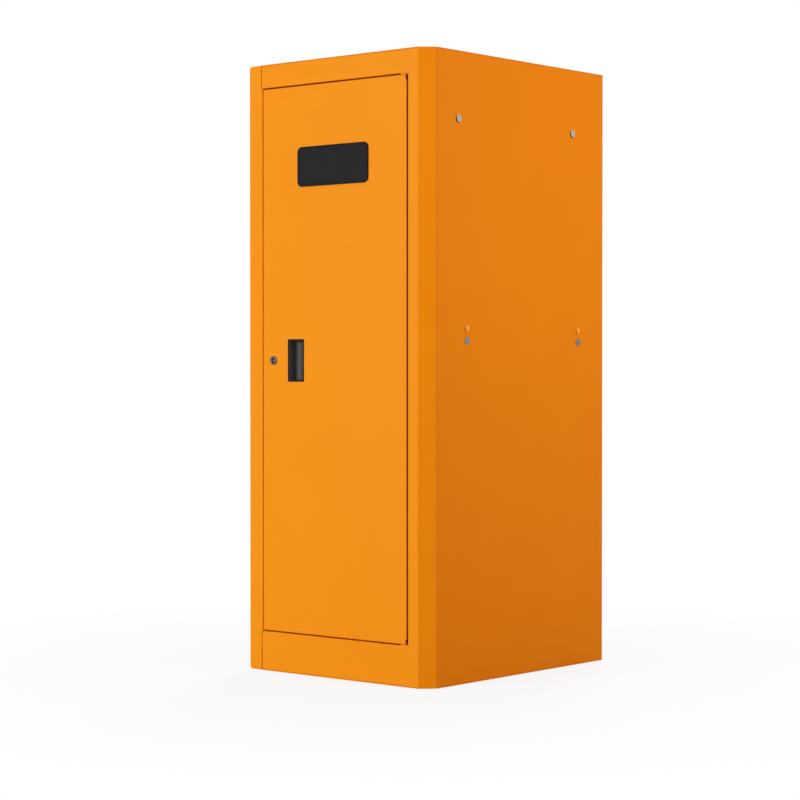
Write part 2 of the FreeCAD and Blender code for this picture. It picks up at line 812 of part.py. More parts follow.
def handle_cup():
    """A moulded cup with a thin rim outside the door and barbs that snap behind its face."""
    half_width = cup_width / 2
    half_height = cup_height / 2
    rim = block((cup_x - half_width, cup_x + half_width), (front_y - cup_rim_height, front_y),
                (lock_height - half_height, lock_height + half_height))
    rim = rounded(rim, cup_corner_radius, lambda middle: near(middle.y, front_y - cup_rim_height / 2))
    body = cup_solid(cup_rim_width + fit_gap, front_y - cup_rim_height / 2, front_y + cup_depth + cup_wall)
    scoop = cup_solid(cup_rim_width + fit_gap + cup_wall, front_y - 2 * cup_rim_height, front_y + cup_depth)
    barb_x = cup_x - half_width + 2 * cup_wall + cup_rim_width
    barb_y = front_y + sheet
    barb_z = half_height - cup_rim_width
    barbs = []
    for side in (-1, 1):
        base = lock_height + side * (barb_z - cup_wall)
        z = sorted((base, base + side * (cup_wall + cup_barb_stand)))
        barbs.append(block((barb_x, barb_x + cup_barb_length), (barb_y, barb_y + cup_barb_height), z))
    return joined([rim, body] + barbs).cut(scoop)


# ---------------------------------------------------------------- lock


def lock_housing():
    """The lock's fixed barrel with its round face outside the door."""
    middle = Vec(lock_x, front_y, lock_height)
    face = rod(lock_face_radius, middle - BACK * lock_face_height, lock_face_height, BACK)
    face = rounded(face, lock_face_height / 2,
                   lambda point: point.y < front_y - lock_face_height / 2)
    barrel = rod(lock_body_radius, middle, stile_return - fit_gap, BACK)
    bore = rod(lock_plug_radius + run_gap, middle - BACK * lock_face_height,
               lock_face_height + stile_return, BACK)
    return joined([face, barrel]).cut(bore)


def lock_nut():
    """The hexagon nut that clamps the barrel behind the door's face."""
    seat = Vec(lock_x, front_y + sheet, lock_height)
    nut = hexagon(lock_nut_across, lock_nut_thickness, seat, BACK, UP)
    return nut.cut(rod(lock_body_radius, seat, lock_nut_thickness, BACK))


def lock_plug():
    """The plug that the key turns: a ring keyway round a centre post, and a square rear end."""
    face = Vec(lock_x, front_y - lock_face_height + lock_face_recess, lock_height)
    length = cam_front - fit_gap - face.y
    plug = rod(lock_plug_radius, face, length, BACK)
    ring = rod(keyway_outer_radius, face, keyway_depth, BACK)
    ring = ring.cut(rod(keyway_inner_radius, face, keyway_depth, BACK))
    notch = block((lock_x - keyway_notch_width / 2, lock_x + keyway_notch_width / 2),
                  (face.y, face.y + keyway_depth),
                  (lock_height, lock_height + lock_plug_radius))
    notch = notch.cut(rod(keyway_inner_radius, face, keyway_depth, BACK))
    half = cam_square / 2
    square = block((lock_x - half, lock_x + half), (face.y + length, cam_front + cam_thickness),
                   (lock_height - half, lock_height + half))
    screw_hole = rod(cam_screw_radius, Vec(lock_x, cam_front + cam_thickness, lock_height),
                     cam_screw_length, BACK * -1)
    return with_holes(joined([plug, square]), [ring, notch, screw_hole])


def lock_cam():
    """The flat arm that swings behind the left stile; it hangs down when unlocked."""
    reach = lock_x - opening_left + cam_overlap
    half = cam_width / 2
    y = (cam_front, cam_front + cam_thickness)
    arm = block((lock_x - half, lock_x + half), y, (lock_height - reach, lock_height))
    hub = rod(half, Vec(lock_x, y[0], lock_height), cam_thickness, BACK)
    square = cam_square / 2
    hole = block((lock_x - square, lock_x + square), y, (lock_height - square, lock_height + square))
    return joined([arm, hub]).cut(hole)


def cam_screw():
    """The screw that holds the cam on the plug's square end."""
    seat = Vec(lock_x, cam_front + cam_thickness, lock_height)
    head = rod(cam_screw_head_radius, seat, cam_screw_head_height, BACK)
    head = rounded(head, cam_screw_head_height / 3, lambda point: point.y > seat.y + cam_screw_head_height / 2)
    shank = rod(cam_screw_radius, seat, cam_screw_length, BACK * -1)
    slot_half = cam_screw_radius / 3
    slot = block((lock_x - cam_screw_head_radius, lock_x + cam_screw_head_radius),
                 (seat.y + cam_screw_head_height / 2, seat.y + 2 * cam_screw_head_height),
                 (lock_height - slot_half, lock_height + slot_half))
    return joined([shank, head]).cut(slot)


# ---------------------------------------------------------------- hinges


def hinge_leaf(seat_z, inward):
    """A flat leaf on one rail's return: a tongue that holds the pin and a wide screwed pad."""
    z = sorted((seat_z, seat_z + inward * leaf_thickness))
    back = front_y + rail_return - leaf_end_gap
    tongue = block((opening_right - leaf_tongue_width, opening_right), (front_y + leaf_setback, back), z)
    pad = block((opening_right - leaf_pad_width, opening_right), (front_y + leaf_pad_front, back), z)
    return with_holes(joined([tongue, pad]), [hinge_pin_hole()] + leaf_screw_holes())


def hinge_pin(seat_z, inward):
    """A headed pin through one rail and its leaf, into the door."""
    direction = UP * inward
    base = Vec(hinge_x, hinge_y, seat_z) - direction * sheet
    head = rod(hinge_pin_head_radius, base, hinge_pin_head_height, direction * -1)
    shank = rod(hinge_pin_radius, base, sheet + level_gap + hinge_pin_reach, direction)
    return joined([head, shank])


def hinge_bushing(door_end, inward):
    """A flanged plastic sleeve in one end of the door, which the pin turns in."""
    direction = UP * inward
    outside = Vec(hinge_x, hinge_y, door_end) - direction * bushing_stand
    sleeve_radius = hinge_pin_radius + run_gap + bushing_wall
    sleeve = rod(sleeve_radius, outside, bushing_length + bushing_stand, direction)
    flange_seat = Vec(hinge_x, hinge_y, door_end) + direction * sheet
    flange = rod(sleeve_radius + bushing_flange, flange_seat, bushing_flange_height, direction)
    bore = rod(hinge_pin_radius + run_gap, outside, bushing_length + bushing_stand, direction)
    return joined([sleeve, flange]).cut(bore)


def hinge_leaf_screws():
    """Button-headed screws that hold both leaves to the rails."""
    screws = []
    for seat_z, inward in ((opening_bottom, 1), (opening_top, -1)):
        for x, y in leaf_screw_places():
            seat = Vec(x, y, seat_z + inward * leaf_thickness)
            head = dome(leaf_screw_head_radius, leaf_screw_head_height, seat, UP * inward)
            shank = rod(leaf_screw_radius, seat, leaf_screw_length, UP * -inward)
            screws.append(joined([shank, head]))
    return group(screws)


# ---------------------------------------------------------------- catches


def catch_screw_heights(middle):
    """The heights of one catch's two screws."""
    return [middle - catch_screw_spacing / 2, middle + catch_screw_spacing / 2]


def catch_screw_x():
    """The catch screws stand in the middle of the stile's lip."""
    return opening_left - catch_ear / 2


def catch_housings():
    """Moulded catch bodies behind the left stile, each with a pocket for its magnet."""
    housings = []
    for middle in catch_heights:
        z = (middle - catch_height / 2, middle + catch_height / 2)
        body = block((opening_left - catch_ear, opening_left + catch_reach),
                     (stile_back, stile_back + catch_depth), z)
        body = rounded(body, catch_edge_radius, lambda point: near(point.y, stile_back + catch_depth))
        pocket = magnet_block(middle, fit_gap)
        screws = [rod(catch_screw_radius, Vec(catch_screw_x(), stile_back, height), catch_depth, BACK)
                  for height in catch_screw_heights(middle)]
        housings.append(with_holes(body, [pocket] + screws))
    return group(housings)


def magnet_block(middle, room):
    """One magnet's place, with room round it."""
    half_height = magnet_height / 2 + room
    x_middle = door_left + strike_inset + strike_width / 2
    half_width = magnet_width / 2 + room
    return block((x_middle - half_width, x_middle + half_width), (stile_back, stile_back + magnet_depth),
                 (middle - half_height, middle + half_height))


def catch_magnets():
    """The magnets, flush with the fronts of their housings."""
    return group([magnet_block(middle, 0) for middle in catch_heights])


def catch_screws():
    """Screws that hold each catch to the stile's lip."""
    screws = []
    for middle in catch_heights:
        for height in catch_screw_heights(middle):
            seat = Vec(catch_screw_x(), stile_back + catch_depth, height)
            head = dome(catch_screw_head_radius, catch_screw_head_height, seat, BACK)
            shank = rod(catch_screw_radius, seat, catch_depth + catch_screw_tip, BACK * -1)
            screws.append(joined([shank, head]))
    return group(screws)


def strike_plates():
    """Thin steel plates on the door's lip, opposite the magnets."""
    plates = []
    for middle in catch_heights:
        x = door_left + strike_inset
        plates.append(block((x, x + strike_width), (door_back, door_back + strike_thickness),
                            (middle - strike_height / 2, middle + strike_height / 2)))
    return group(plates)


def with_catch_holes(shell):
    """The shell with the catch screws' holes in its stile lip."""
    tools = [rod(catch_screw_radius, Vec(catch_screw_x(), stile_back - 2 * sheet, height), 3 * sheet, BACK)
             for middle in catch_heights for height in catch_screw_heights(middle)]
    return with_holes(shell, tools)


nodes = {
    "body_shell": with_catch_holes(body_shell()),
    "right_side_panel": right_side_panel(),
    "front_frame": front_frame(),
    "back_panel": back_panel(),
    "back_panel_rivets": back_panel_rivets(),
    "floor_pan": floor_pan(),
    "hanging_strip_left": hanging_strip(-1),
    "hanging_strip_right": hanging_strip(1),
    "shelf_angle_left": shelf_angle(-1),
    "shelf_angle_right": shelf_angle(1),
    "shelf_angle_rivets": shelf_angle_rivets(),
    "shelf_angle_bolts": shelf_angle_bolts(),
    "shelf_angle_nuts": shelf_angle_nuts(),
    "upper_hole_plugs": upper_hole_plugs(),
    "shelf_standards_left": shelf_standards(-1),
    "shelf_standards_right": shelf_standards(1),
    "shelf_clips": shelf_clips(),
    "lower_shelf": shelf(clip_shelf_top(clip_slots()[0])),
    "middle_shelf": shelf(angle_top + shelf_flange),
    "upper_shelf": shelf(clip_shelf_top(clip_slots()[-1])),
    "door_pan": door_pan(),
    "door_stiffener": door_stiffener(),
    "badge_plate": badge_plate(),
    "badge_push_nuts": badge_push_nuts(),
    "handle_cup": handle_cup(),
    "lock_housing": lock_housing(),
    "lock_nut": lock_nut(),
    "lock_plug": lock_plug(),
    "lock_cam": lock_cam(),
    "cam_screw": cam_screw(),
    "upper_hinge_leaf": hinge_leaf(opening_top, -1),
    "lower_hinge_leaf": hinge_leaf(opening_bottom, 1),
    "upper_hinge_pin": hinge_pin(opening_top, -1),
    "lower_hinge_pin": hinge_pin(opening_bottom, 1),
    "hinge_bushings": group([hinge_bushing(door_bottom, 1), hinge_bushing(door_top, -1)]),
    "hinge_leaf_screws": hinge_leaf_screws(),
    "catch_housings": catch_housings(),
    "catch_magnets": catch_magnets(),
    "catch_screws": catch_screws(),
    "strike_plates": strike_plates(),
}

os.makedirs("parts", exist_ok=True)
for name, shape in nodes.items():
    shape.exportStep("parts/" + name + ".step")
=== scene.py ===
import math

import bmesh
import bpy
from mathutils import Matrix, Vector


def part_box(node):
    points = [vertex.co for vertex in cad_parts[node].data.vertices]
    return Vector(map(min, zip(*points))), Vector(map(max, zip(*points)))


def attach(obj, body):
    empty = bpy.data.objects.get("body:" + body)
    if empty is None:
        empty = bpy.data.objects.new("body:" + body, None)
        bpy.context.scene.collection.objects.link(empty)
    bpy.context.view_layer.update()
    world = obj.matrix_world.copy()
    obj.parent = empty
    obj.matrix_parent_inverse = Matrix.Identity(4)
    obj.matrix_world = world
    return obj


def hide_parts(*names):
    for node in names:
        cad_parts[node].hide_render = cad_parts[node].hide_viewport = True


# Looks of a tool chest side locker: a tall powder-coated cabinet with one flush door.
# Metres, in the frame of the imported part. X goes to the right of someone who faces the door, Y to the
# back and Z up. Pieces are modelled where they belong, so every object stays at the origin.

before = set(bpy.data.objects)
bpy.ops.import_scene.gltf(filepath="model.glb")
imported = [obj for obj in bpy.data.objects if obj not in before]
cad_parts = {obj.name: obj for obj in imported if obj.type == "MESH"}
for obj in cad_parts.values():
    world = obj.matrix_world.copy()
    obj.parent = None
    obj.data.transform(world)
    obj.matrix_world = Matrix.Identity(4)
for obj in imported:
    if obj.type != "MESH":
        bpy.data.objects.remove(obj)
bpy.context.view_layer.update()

MM = 0.001
HAIR = 0.02 * MM               # how near a corner has to lie to a place to count as there
BEND = 0.3                     # radians; where two faces turn by less, they are one surface
LEVEL = 0.9                    # a face lies level where its normal's upright share is above this
RIGHT = Vector((1, 0, 0))
BACK = Vector((0, 1, 0))
UP = Vector((0, 0, 1))

# Sheet metal
SHEET = 1.2 * MM               # walls, front frame and door
THIN_SHEET = 1.0 * MM          # shelves and the door's stiffener
ANGLE_SHEET = 2.0 * MM         # the angles that carry the fixed shelf
THROUGH = 4 * SHEET            # a cut of this length goes right through one sheet
FOLD = 1.6 * MM                # outside radius of a press-brake fold
DOOR_FOLD = 1.2 * MM           # tighter folds round the door's face
CHAMFER_FOLD = 0.8 * MM        # set back each side of the chamfer's two bends
WALL_FOLD = 1.0 * MM
WRAP_FOLD = 5.0 * MM           # the two large folds on the left
FOLD_STEPS = 4
WRAP_STEPS = 8
BROKEN_EDGE = 0.25 * MM        # cut edges lose their burr and hold a rounded film of powder
THIN_EDGE = 0.2 * MM           # the same on thin sheet
EDGE_STEPS = 2
SHARP_ANGLE = 40               # degrees; only edges that turn by more than this are rounded
EDGE_BAND = 1.2 * BROKEN_EDGE  # the faces of a rounded edge lie within this of its end
SEAM = 1.2 * MM                # open joint between the left stile and the front frame
STILE_STEP = 2.8 * MM          # beside the door the left stile is this much wider than beside the rails
STILE_RETURN = 19.0 * MM       # the stiles fold back this far beside the door
RAIL_RETURN = 40.0 * MM        # the rails fold back this far over and under it
RETURN_LIP = 10.0 * MM         # a last fold along the returns
CHAMFER = 21.4 * MM            # the right front corner is cut back this far both ways
TUCK_END = 36.4 * MM           # the chamfer's hidden flange ends this far behind the front
PANEL_FLANGE_START = 36.7 * MM # the right wall's flanges start clear of it
WELD_FLANGE = 15.0 * MM        # the front frame's flanges along the top and the base
REAR_FLANGE = 15.0 * MM        # all round the back, for the back panel
FIT = 0.3 * MM                 # left open between pieces that meet
DOOR_LIP = 15.0 * MM           # the last fold, along the back of the door's four sides
RELIEF = Vector((2.0, 10.0, 8.0)) * MM     # cut from the door's two corners for the hinges
STIFFENER_CROWN = 36.0 * MM
HINGE_SHADE_DEPTH = 4.0 * MM         # how far into the hinge gap the painted shade reaches

# Holes, given by their radii, and fixings
UPPER_HOLE = 5.0 * MM
LOWER_HOLE = 3.4 * MM
STUD_HOLE = 1.5 * MM
LOCK_HOLE = 6.0 * MM
LOCK_BORE = 4.25 * MM
HOLE_SIDES = 40
ROUND_SIDES = 48
DOME_STEPS = 6
SIDE_RIVETS = 5                # down each side of the back
END_RIVETS = 3                 # along its top and its bottom
UNDERSIDE = 0.15               # painted shadow goes where a face's normal leans this far down or to the front
FACE_ON = 0.95                 # the lock's flat face: normals with more than this along its axis

# The lock's soft edge, ring by ring: shares of the face's height and of its radius
LOCK_EDGE = ((0.55, 1.0), (0.8, 0.985), (0.95, 0.955), (1.0, 0.91))

# Moulded pull
CUP_RIM = 1.6 * MM
CUP_WALL = 1.5 * MM
CUP_FLOOR = 11.0 * MM          # flat floor at the latch side, before the curve
CUP_LIP = 1.4 * MM             # the curve runs out this far from the rim's right edge
CUP_CORNER = 1.5 * MM
CUP_STEPS = 16
CUP_EDGE = 0.45 * MM           # moulded edges are rounder than cut ones
RIM_FACE = 0.3 * MM            # the hollow starts this far behind the rim's front
LATCH_LIGHT_FADE = (5.5, 9.0)            # millimetres from the latch side between which the painted lightening fades

# Badge
BADGE_CORNER = 9.0 * MM
BADGE_CORNER_STEPS = 10
BADGE_RIM = 3.2 * MM
BADGE_SLOPE = 0.6 * MM
BADGE_RECESS = 0.7 * MM
BADGE_EDGE = 0.35 * MM
BADGE_STUDS = 110.0 * MM       # between the two studs
MOULDED_STEPS = 3

# Below these angles, in degrees, faces are shaded as one smooth surface
FOLDED_ANGLE = 35
MOULDED_ANGLE = 40
TURNED_ANGLE = 50

# Noise mostly runs between these two, so this range of it is what gets spread over a roughness
NOISE_LOW = 0.3
NOISE_HIGH = 0.7

# Stage
CAMERA_PLACE = (2.3583, -2.8498, 0.4985)
CAMERA_TURN = math.radians(40.35)
CAMERA_TILT = math.radians(0.877)          # looks down a little
CAMERA_LENS = 99.65            # focal length, in millimetres
WHITE = "#FFFFFF"
WARM = "#FFC4B6"
FILL = 0.2                     # even light from all round, as a share of white
FLOOR_SIZE = 40.0              # metres across
FLOOR_SEEN = "#E9E9E9"
FLOOR_BOUNCE = "#8E8E8E"       # what the floor throws back on the locker
SHADOW_SHARE = 0.14            # how much of the floor's own shading shows beside the locker
SHADOW_REACH = 1.1             # metres from the middle at which that has faded to nothing


# ---------------------------------------------------------------- modelling

def alone(piece):
    """Selects this piece and nothing else."""
    bpy.ops.object.select_all(action="DESELECT")
    piece.select_set(True)
    bpy.context.view_layer.objects.active = piece


def open_mesh(piece):
    """Opens one piece in edit mode with nothing picked."""
    alone(piece)
    bpy.ops.object.mode_set(mode="EDIT")
    bpy.ops.mesh.select_all(action="DESELECT")


def close_mesh():
    """Leaves edit mode."""
    bpy.ops.object.mode_set(mode="OBJECT")


def named(name):
    """Names the piece just added and moves its place into its mesh."""
    piece = bpy.context.object
    piece.name = name
    piece.data.name = name
    bpy.ops.object.transform_apply(location=True, rotation=True, scale=True)
    return piece


def block(name, low, high):
    """A plain block between two corners, from which a piece is shaped."""
    low, high = Vector(low), Vector(high)
    bpy.ops.object.select_all(action="DESELECT")
    bpy.ops.mesh.primitive_cube_add(size=1, location=(low + high) / 2, scale=high - low)
    return named(name)


def at(x=None, y=None, z=None):
    """A rule: every corner lies at the places given, or between the two of a pair."""
    spans = []
    for axis, place in enumerate((x, y, z)):
        if place is not None:
            low, high = place if isinstance(place, tuple) else (place, place)
            spans.append((axis, low - HAIR, high + HAIR))

    def rule(item):
        corners = [item.co] if isinstance(item, bmesh.types.BMVert) else [v.co for v in item.verts]
        return all(low <= corner[axis] <= high for corner in corners for axis, low, high in spans)
    return rule


def fold_line(**places):
    """A rule: an edge at these places where two faces meet at an angle."""
    there = at(**places)
    return lambda edge: there(edge) and len(edge.link_faces) == 2 and edge.calc_face_angle() > BEND


def pick(kind, rule):
    """Selects the faces, edges or corners of the open mesh for which the rule holds."""
    bpy.ops.mesh.select_mode(type=kind)
    bpy.ops.mesh.select_all(action="DESELECT")
    mesh = bmesh.from_edit_mesh(bpy.context.object.data)
    for item in {"VERT": mesh.verts, "EDGE": mesh.edges, "FACE": mesh.faces}[kind]:
        if rule(item):
            item.select_set(True)
    mesh.select_flush_mode()
    bmesh.update_edit_mesh(bpy.context.object.data)


def remove(rule):
    """Deletes the picked faces of the open mesh."""
    pick("FACE", rule)
    bpy.ops.mesh.delete(type="FACE")


def score(rule, x=(), y=(), z=()):
    """Cuts the picked faces along lines across an axis, so that they can be parted or folded there."""
    for direction, places in ((RIGHT, x), (BACK, y), (UP, z)):
        for place in places:
            pick("FACE", rule)
            bpy.ops.mesh.bisect(plane_co=direction * place, plane_no=direction)


def draw_out(rule, *moves):
    """Extrudes the picked edges once for each move, as flanges are folded from a sheet."""
    pick("EDGE", rule)
    for move in moves:
        bpy.ops.mesh.extrude_region_move(TRANSFORM_OT_translate={"value": move})


def fold(rule, radius, steps=FOLD_STEPS):
    """Rounds the picked edges to a bend."""
    pick("EDGE", rule)
    bpy.ops.mesh.bevel(offset=radius, offset_type="OFFSET", segments=steps, affect="EDGES")


def modify(piece, kind, **settings):
    """Adds a modifier with its settings and applies it."""
    alone(piece)
    modifier = piece.modifiers.new(kind, kind)
    for setting, value in settings.items():
        setattr(modifier, setting, value)
    bpy.ops.object.modifier_apply(modifier=modifier.name)


def thicken(piece, thickness):
    """Gives a folded surface its metal, on the inside."""
    modify(piece, "SOLIDIFY", thickness=thickness, offset=-1,
           use_even_offset=True, use_quality_normals=True)


def soften(piece, width=BROKEN_EDGE, steps=EDGE_STEPS):
    """Rounds every sharp edge a little."""
    modify(piece, "BEVEL", width=width, segments=steps, limit_method="ANGLE",
           angle_limit=math.radians(SHARP_ANGLE), use_clamp_overlap=True)


def smooth(piece, angle=FOLDED_ANGLE):
    """Shades bends smoothly and keeps flat faces flat."""
    alone(piece)
    bpy.ops.object.shade_smooth_by_angle(angle=math.radians(angle))
    modify(piece, "WEIGHTED_NORMAL", keep_sharp=True)


def subtract(piece, cutter):
    """Cuts one piece's form out of another and throws the cutter away."""
    modify(piece, "BOOLEAN", operation="DIFFERENCE", solver="EXACT", object=cutter)
    bpy.data.objects.remove(cutter)


def drill(piece, middle, radius, direction, length):
    """Cuts a round hole, with its middle at a point."""
    bpy.ops.object.select_all(action="DESELECT")
    bpy.ops.mesh.primitive_cylinder_add(vertices=HOLE_SIDES, radius=radius, depth=length,
                                        location=middle,
                                        rotation=direction.to_track_quat("Z", "Y").to_euler())
    subtract(piece, named("drill"))


def turned(name, start, outward, profile, closed=False):
    """A lathe-turned piece: one ring drawn out step by step along a direction.

    The profile lists each ring's distance from the start and its radius. A closed profile ends
    on its first ring, as for a washer or a sleeve; any other is capped at both ends.
    """
    reach, radius = profile[0]
    bpy.ops.object.select_all(action="DESELECT")
    bpy.ops.mesh.primitive_circle_add(vertices=ROUND_SIDES, radius=radius,
                                      location=start + outward * reach,
                                      rotation=outward.to_track_quat("Z", "Y").to_euler())
    piece = named(name)
    open_mesh(piece)
    pick("EDGE", lambda edge: True)
    for (reach, radius), (next_reach, next_radius) in zip(profile, profile[1:]):
        step = outward * (next_reach - reach)
        bpy.ops.mesh.extrude_region_move(TRANSFORM_OT_translate={"value": step})
        grow = next_radius / radius
        bpy.ops.transform.resize(value=(grow, grow, grow), center_override=start + outward * next_reach)
    bpy.ops.mesh.select_all(action="SELECT")
    if closed:
        bpy.ops.mesh.remove_doubles(threshold=HAIR)
    else:
        bpy.ops.mesh.fill_holes(sides=0)
    bpy.ops.mesh.select_all(action="SELECT")
    bpy.ops.mesh.normals_make_consistent(inside=False)
    close_mesh()
    return piece


def dome(radius, height, start=0.0):
    """The profile of a shallow dome: rings along a circular arc, the last a small one round its top."""
    ball = (radius ** 2 + height ** 2) / (2 * height)
    rim = math.asin(radius / ball)
    angles = [rim * (1 - step / DOME_STEPS) for step in range(DOME_STEPS)] + [rim / DOME_STEPS / 4]
    return [(start + ball * math.cos(angle) - ball + height, ball * math.sin(angle)) for angle in angles]


def copied(piece, shift):
    """A copy of a piece with a mesh of its own, moved by a shift."""
    alone(piece)
    bpy.ops.object.duplicate(linked=False)
    bpy.ops.transform.translate(value=shift)
    return named(piece.name)


def united(name, pieces):
    """Several pieces kept as one object."""
    alone(pieces[0])
    for piece in pieces:
        piece.select_set(True)
    bpy.ops.object.join()
    return named(name)


def repeated(name, first, places):
    """A finished piece at the first place, with copies of it at the others, all kept as one object."""
    return united(name, [first] + [copied(first, place - places[0]) for place in places[1:]])


# ---------------------------------------------------------------- materials

def linear(colour):
    """An sRGB hex colour as linear red, green, blue and alpha."""
    parts = [int(colour[start:start + 2], 16) / 255 for start in (1, 3, 5)]
    return [part / 12.92 if part <= 0.04045 else ((part + 0.055) / 1.055) ** 2.4
            for part in parts] + [1.0]


def add(tree, kind, inputs, **settings):
    """Adds a node with its settings and links, and gives it back.

    The kind is Blender's name for the node without its first word, ShaderNode. Each input takes
    a value, another node's output, or another node, which stands for its first output.
    """
    node = tree.nodes.new("ShaderNode" + kind)
    for setting, value in settings.items():
        setattr(node, setting, value)
    for socket, value in inputs.items():
        if isinstance(value, bpy.types.Node):
            value = value.outputs[0]
        if isinstance(value, bpy.types.NodeSocket):
            tree.links.new(value, node.inputs[socket])
        else:
            node.inputs[socket].default_value = value
    return node


def bare_tree(owner):
    """The nodes of a material or a world, cleared."""
    owner.use_nodes = True
    owner.node_tree.nodes.clear()
    return owner.node_tree


def surface(name):
    """A new material, its nodes, and the place on a piece in millimetres.

    Patterns read that place, so a noise scale of 1 / 4 has patches about 4 mm across.
    """
    material = bpy.data.materials.new(name)
    tree = bare_tree(material)
    metres = add(tree, "TexCoord", {}).outputs["Object"]
    place = add(tree, "Mapping", {"Vector": metres, "Scale": (1 / MM, 1 / MM, 1 / MM)})
    return material, tree, place


def dress(tree, tint, colours, gloss, roughness, relief, constants):
    """Ends a material with what all the finishes share.

    One pattern tints the surface between two sRGB colours, one spreads its roughness between two
    values, and each pattern of the relief raises it by a depth in millimetres. The constants are
    the shader's sockets that are the same all over.
    """
    first, second = colours
    colour = add(tree, "Mix", {0: tint, 6: linear(first), 7: linear(second)}, data_type="RGBA").outputs[2]
    smoothest, roughest = roughness
    rough = add(tree, "MapRange", {"Value": gloss, "From Min": NOISE_LOW, "From Max": NOISE_HIGH,
                                   "To Min": smoothest, "To Max": roughest})
    inputs = constants | {"Base Color": colour, "Roughness": rough}
    for pattern, depth in relief:
        below = {"Normal": inputs["Normal"]} if "Normal" in inputs else {}
        height = {"Height": pattern, "Distance": depth * MM, "Strength": 1.0}
        inputs["Normal"] = add(tree, "Bump", height | below)
    add(tree, "OutputMaterial", {"Surface": add(tree, "BsdfPrincipled", inputs)})


def orange_powder_coat():
    """Polyester powder, baked on sheet steel: an even satin orange skin with a faint orange peel.

    The peel is 3 mm from crest to crest and only shows where a light grazes it. The powder's
    grain is finer than 0.1 mm and is drawn at 0.7 mm to show. The pigment floats a little, so
    broad patches differ by a shade that is barely seen.
    """
    material, tree, place = surface("orange_powder_coat")
    drift = add(tree, "TexNoise", {"Vector": place, "Scale": 1 / 90.0, "Detail": 3.0})
    floating = add(tree, "MapRange", {"Value": drift, "From Min": NOISE_LOW, "From Max": NOISE_HIGH})
    peel = add(tree, "TexNoise", {"Vector": place, "Scale": 1 / 3.2})
    grit = add(tree, "TexNoise", {"Vector": place, "Scale": 1 / 0.7, "Detail": 1.0})
    dress(tree, tint=floating, colours=("#F4940D", "#F2920A"), gloss=peel, roughness=(0.40, 0.48),
          relief=[(peel, 0.02), (grit, 0.004)], constants={"IOR": 1.5, "Specular IOR Level": 0.06})
    return material


def seam_painted_shade(name, dark, light):
    """A darker orange painted at the mouth of a seam or gap between two sheets, as painted shade."""
    material, tree, place = surface(name)
    thin = add(tree, "TexNoise", {"Vector": place, "Scale": 1 / 6.0})
    dress(tree, tint=thin, colours=(dark, light), gloss=thin, roughness=(0.5, 0.6),
          relief=[(thin, 0.01)], constants={"IOR": 1.5, "Specular IOR Level": 0.08})
    return material


def rivet_enamel_highlight():
    """Wet-sprayed enamel on a pulled rivet: glossier than the powder round it; its lighter orange is a
    painted highlight.
    """
    material, tree, place = surface("orange_enamel_painted_highlight")
    runs = add(tree, "TexNoise", {"Vector": place, "Scale": 1 / 2.0})
    dress(tree, tint=runs, colours=("#FFB438", "#FFBA40"), gloss=runs, roughness=(0.24, 0.32),
          relief=[(runs, 0.01)], constants={"IOR": 1.5, "Specular IOR Level": 0.15})
    return material


def head_painted_shade(name, dark, light):
    """A matt dark finish on the low front side of a head and round the lock's face: painted shadow and
    shade.
    """
    material, tree, place = surface(name)
    shade_mottle = add(tree, "TexNoise", {"Vector": place, "Scale": 1 / 1.5, "Detail": 3.0, "Roughness": 0.6})
    dress(tree, tint=shade_mottle, colours=(dark, light), gloss=shade_mottle, roughness=(0.7, 0.9),
          relief=[(shade_mottle, 0.02)], constants={"IOR": 1.45, "Specular IOR Level": 0.1})
    return material


def black_abs():
    """ABS, injection moulded in a spark-eroded tool: near black, with a fine matt grain.

    The real grain is about 0.1 mm across; it is drawn at 0.6 mm to show.
    """
    material, tree, place = surface("black_moulded_abs")
    grain = add(tree, "TexNoise", {"Vector": place, "Scale": 1 / 0.6, "Roughness": 0.6})
    flow = add(tree, "TexNoise", {"Vector": place, "Scale": 1 / 25.0})
    dress(tree, tint=flow, colours=("#17171A", "#1C1C1E"), gloss=grain, roughness=(0.46, 0.60),
          relief=[(grain, 0.02)], constants={"IOR": 1.54, "Specular IOR Level": 0.05})
    return material


def polished_abs():
    """The hollow of the pull: the same resin from a smoother part of the tool, painted a lighter grey as
    painted light.

    The wall at the latch side, which lies in the rim's shade, is painted lighter still, as painted light.
    """
    material, tree, place = surface("black_abs_hollow_painted_light")
    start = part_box("handle_cup")[0].x / MM
    across = add(tree, "SeparateXYZ", {"Vector": place})
    painted_light_fade = add(tree, "MapRange", {"Value": across, "From Min": start + LATCH_LIGHT_FADE[0],
                                    "From Max": start + LATCH_LIGHT_FADE[1]})
    touch = add(tree, "TexNoise", {"Vector": place, "Scale": 1 / 9.0})
    pits = add(tree, "TexNoise", {"Vector": place, "Scale": 1 / 0.8})
    dress(tree, tint=painted_light_fade, colours=("#6A6A6C", "#4C4C4E"), gloss=touch, roughness=(0.34, 0.44),
          relief=[(pits, 0.004)], constants={"IOR": 1.54, "Specular IOR Level": 0.12})
    return material


def grey_nylon():
    """Natural nylon, moulded: a waxy light grey with a soft sheen."""
    material, tree, place = surface("grey_moulded_nylon")
    clouds = add(tree, "TexNoise", {"Vector": place, "Scale": 1 / 4.0})
    pits = add(tree, "TexNoise", {"Vector": place, "Scale": 1 / 0.8})
    dress(tree, tint=clouds, colours=("#AEB9AC", "#BAC5B8"), gloss=clouds, roughness=(0.42, 0.52),
          relief=[(pits, 0.01)], constants={"IOR": 1.53, "Specular IOR Level": 0.4,
                                            "Subsurface Weight": 0.1, "Subsurface Scale": 1.5 * MM})
    return material


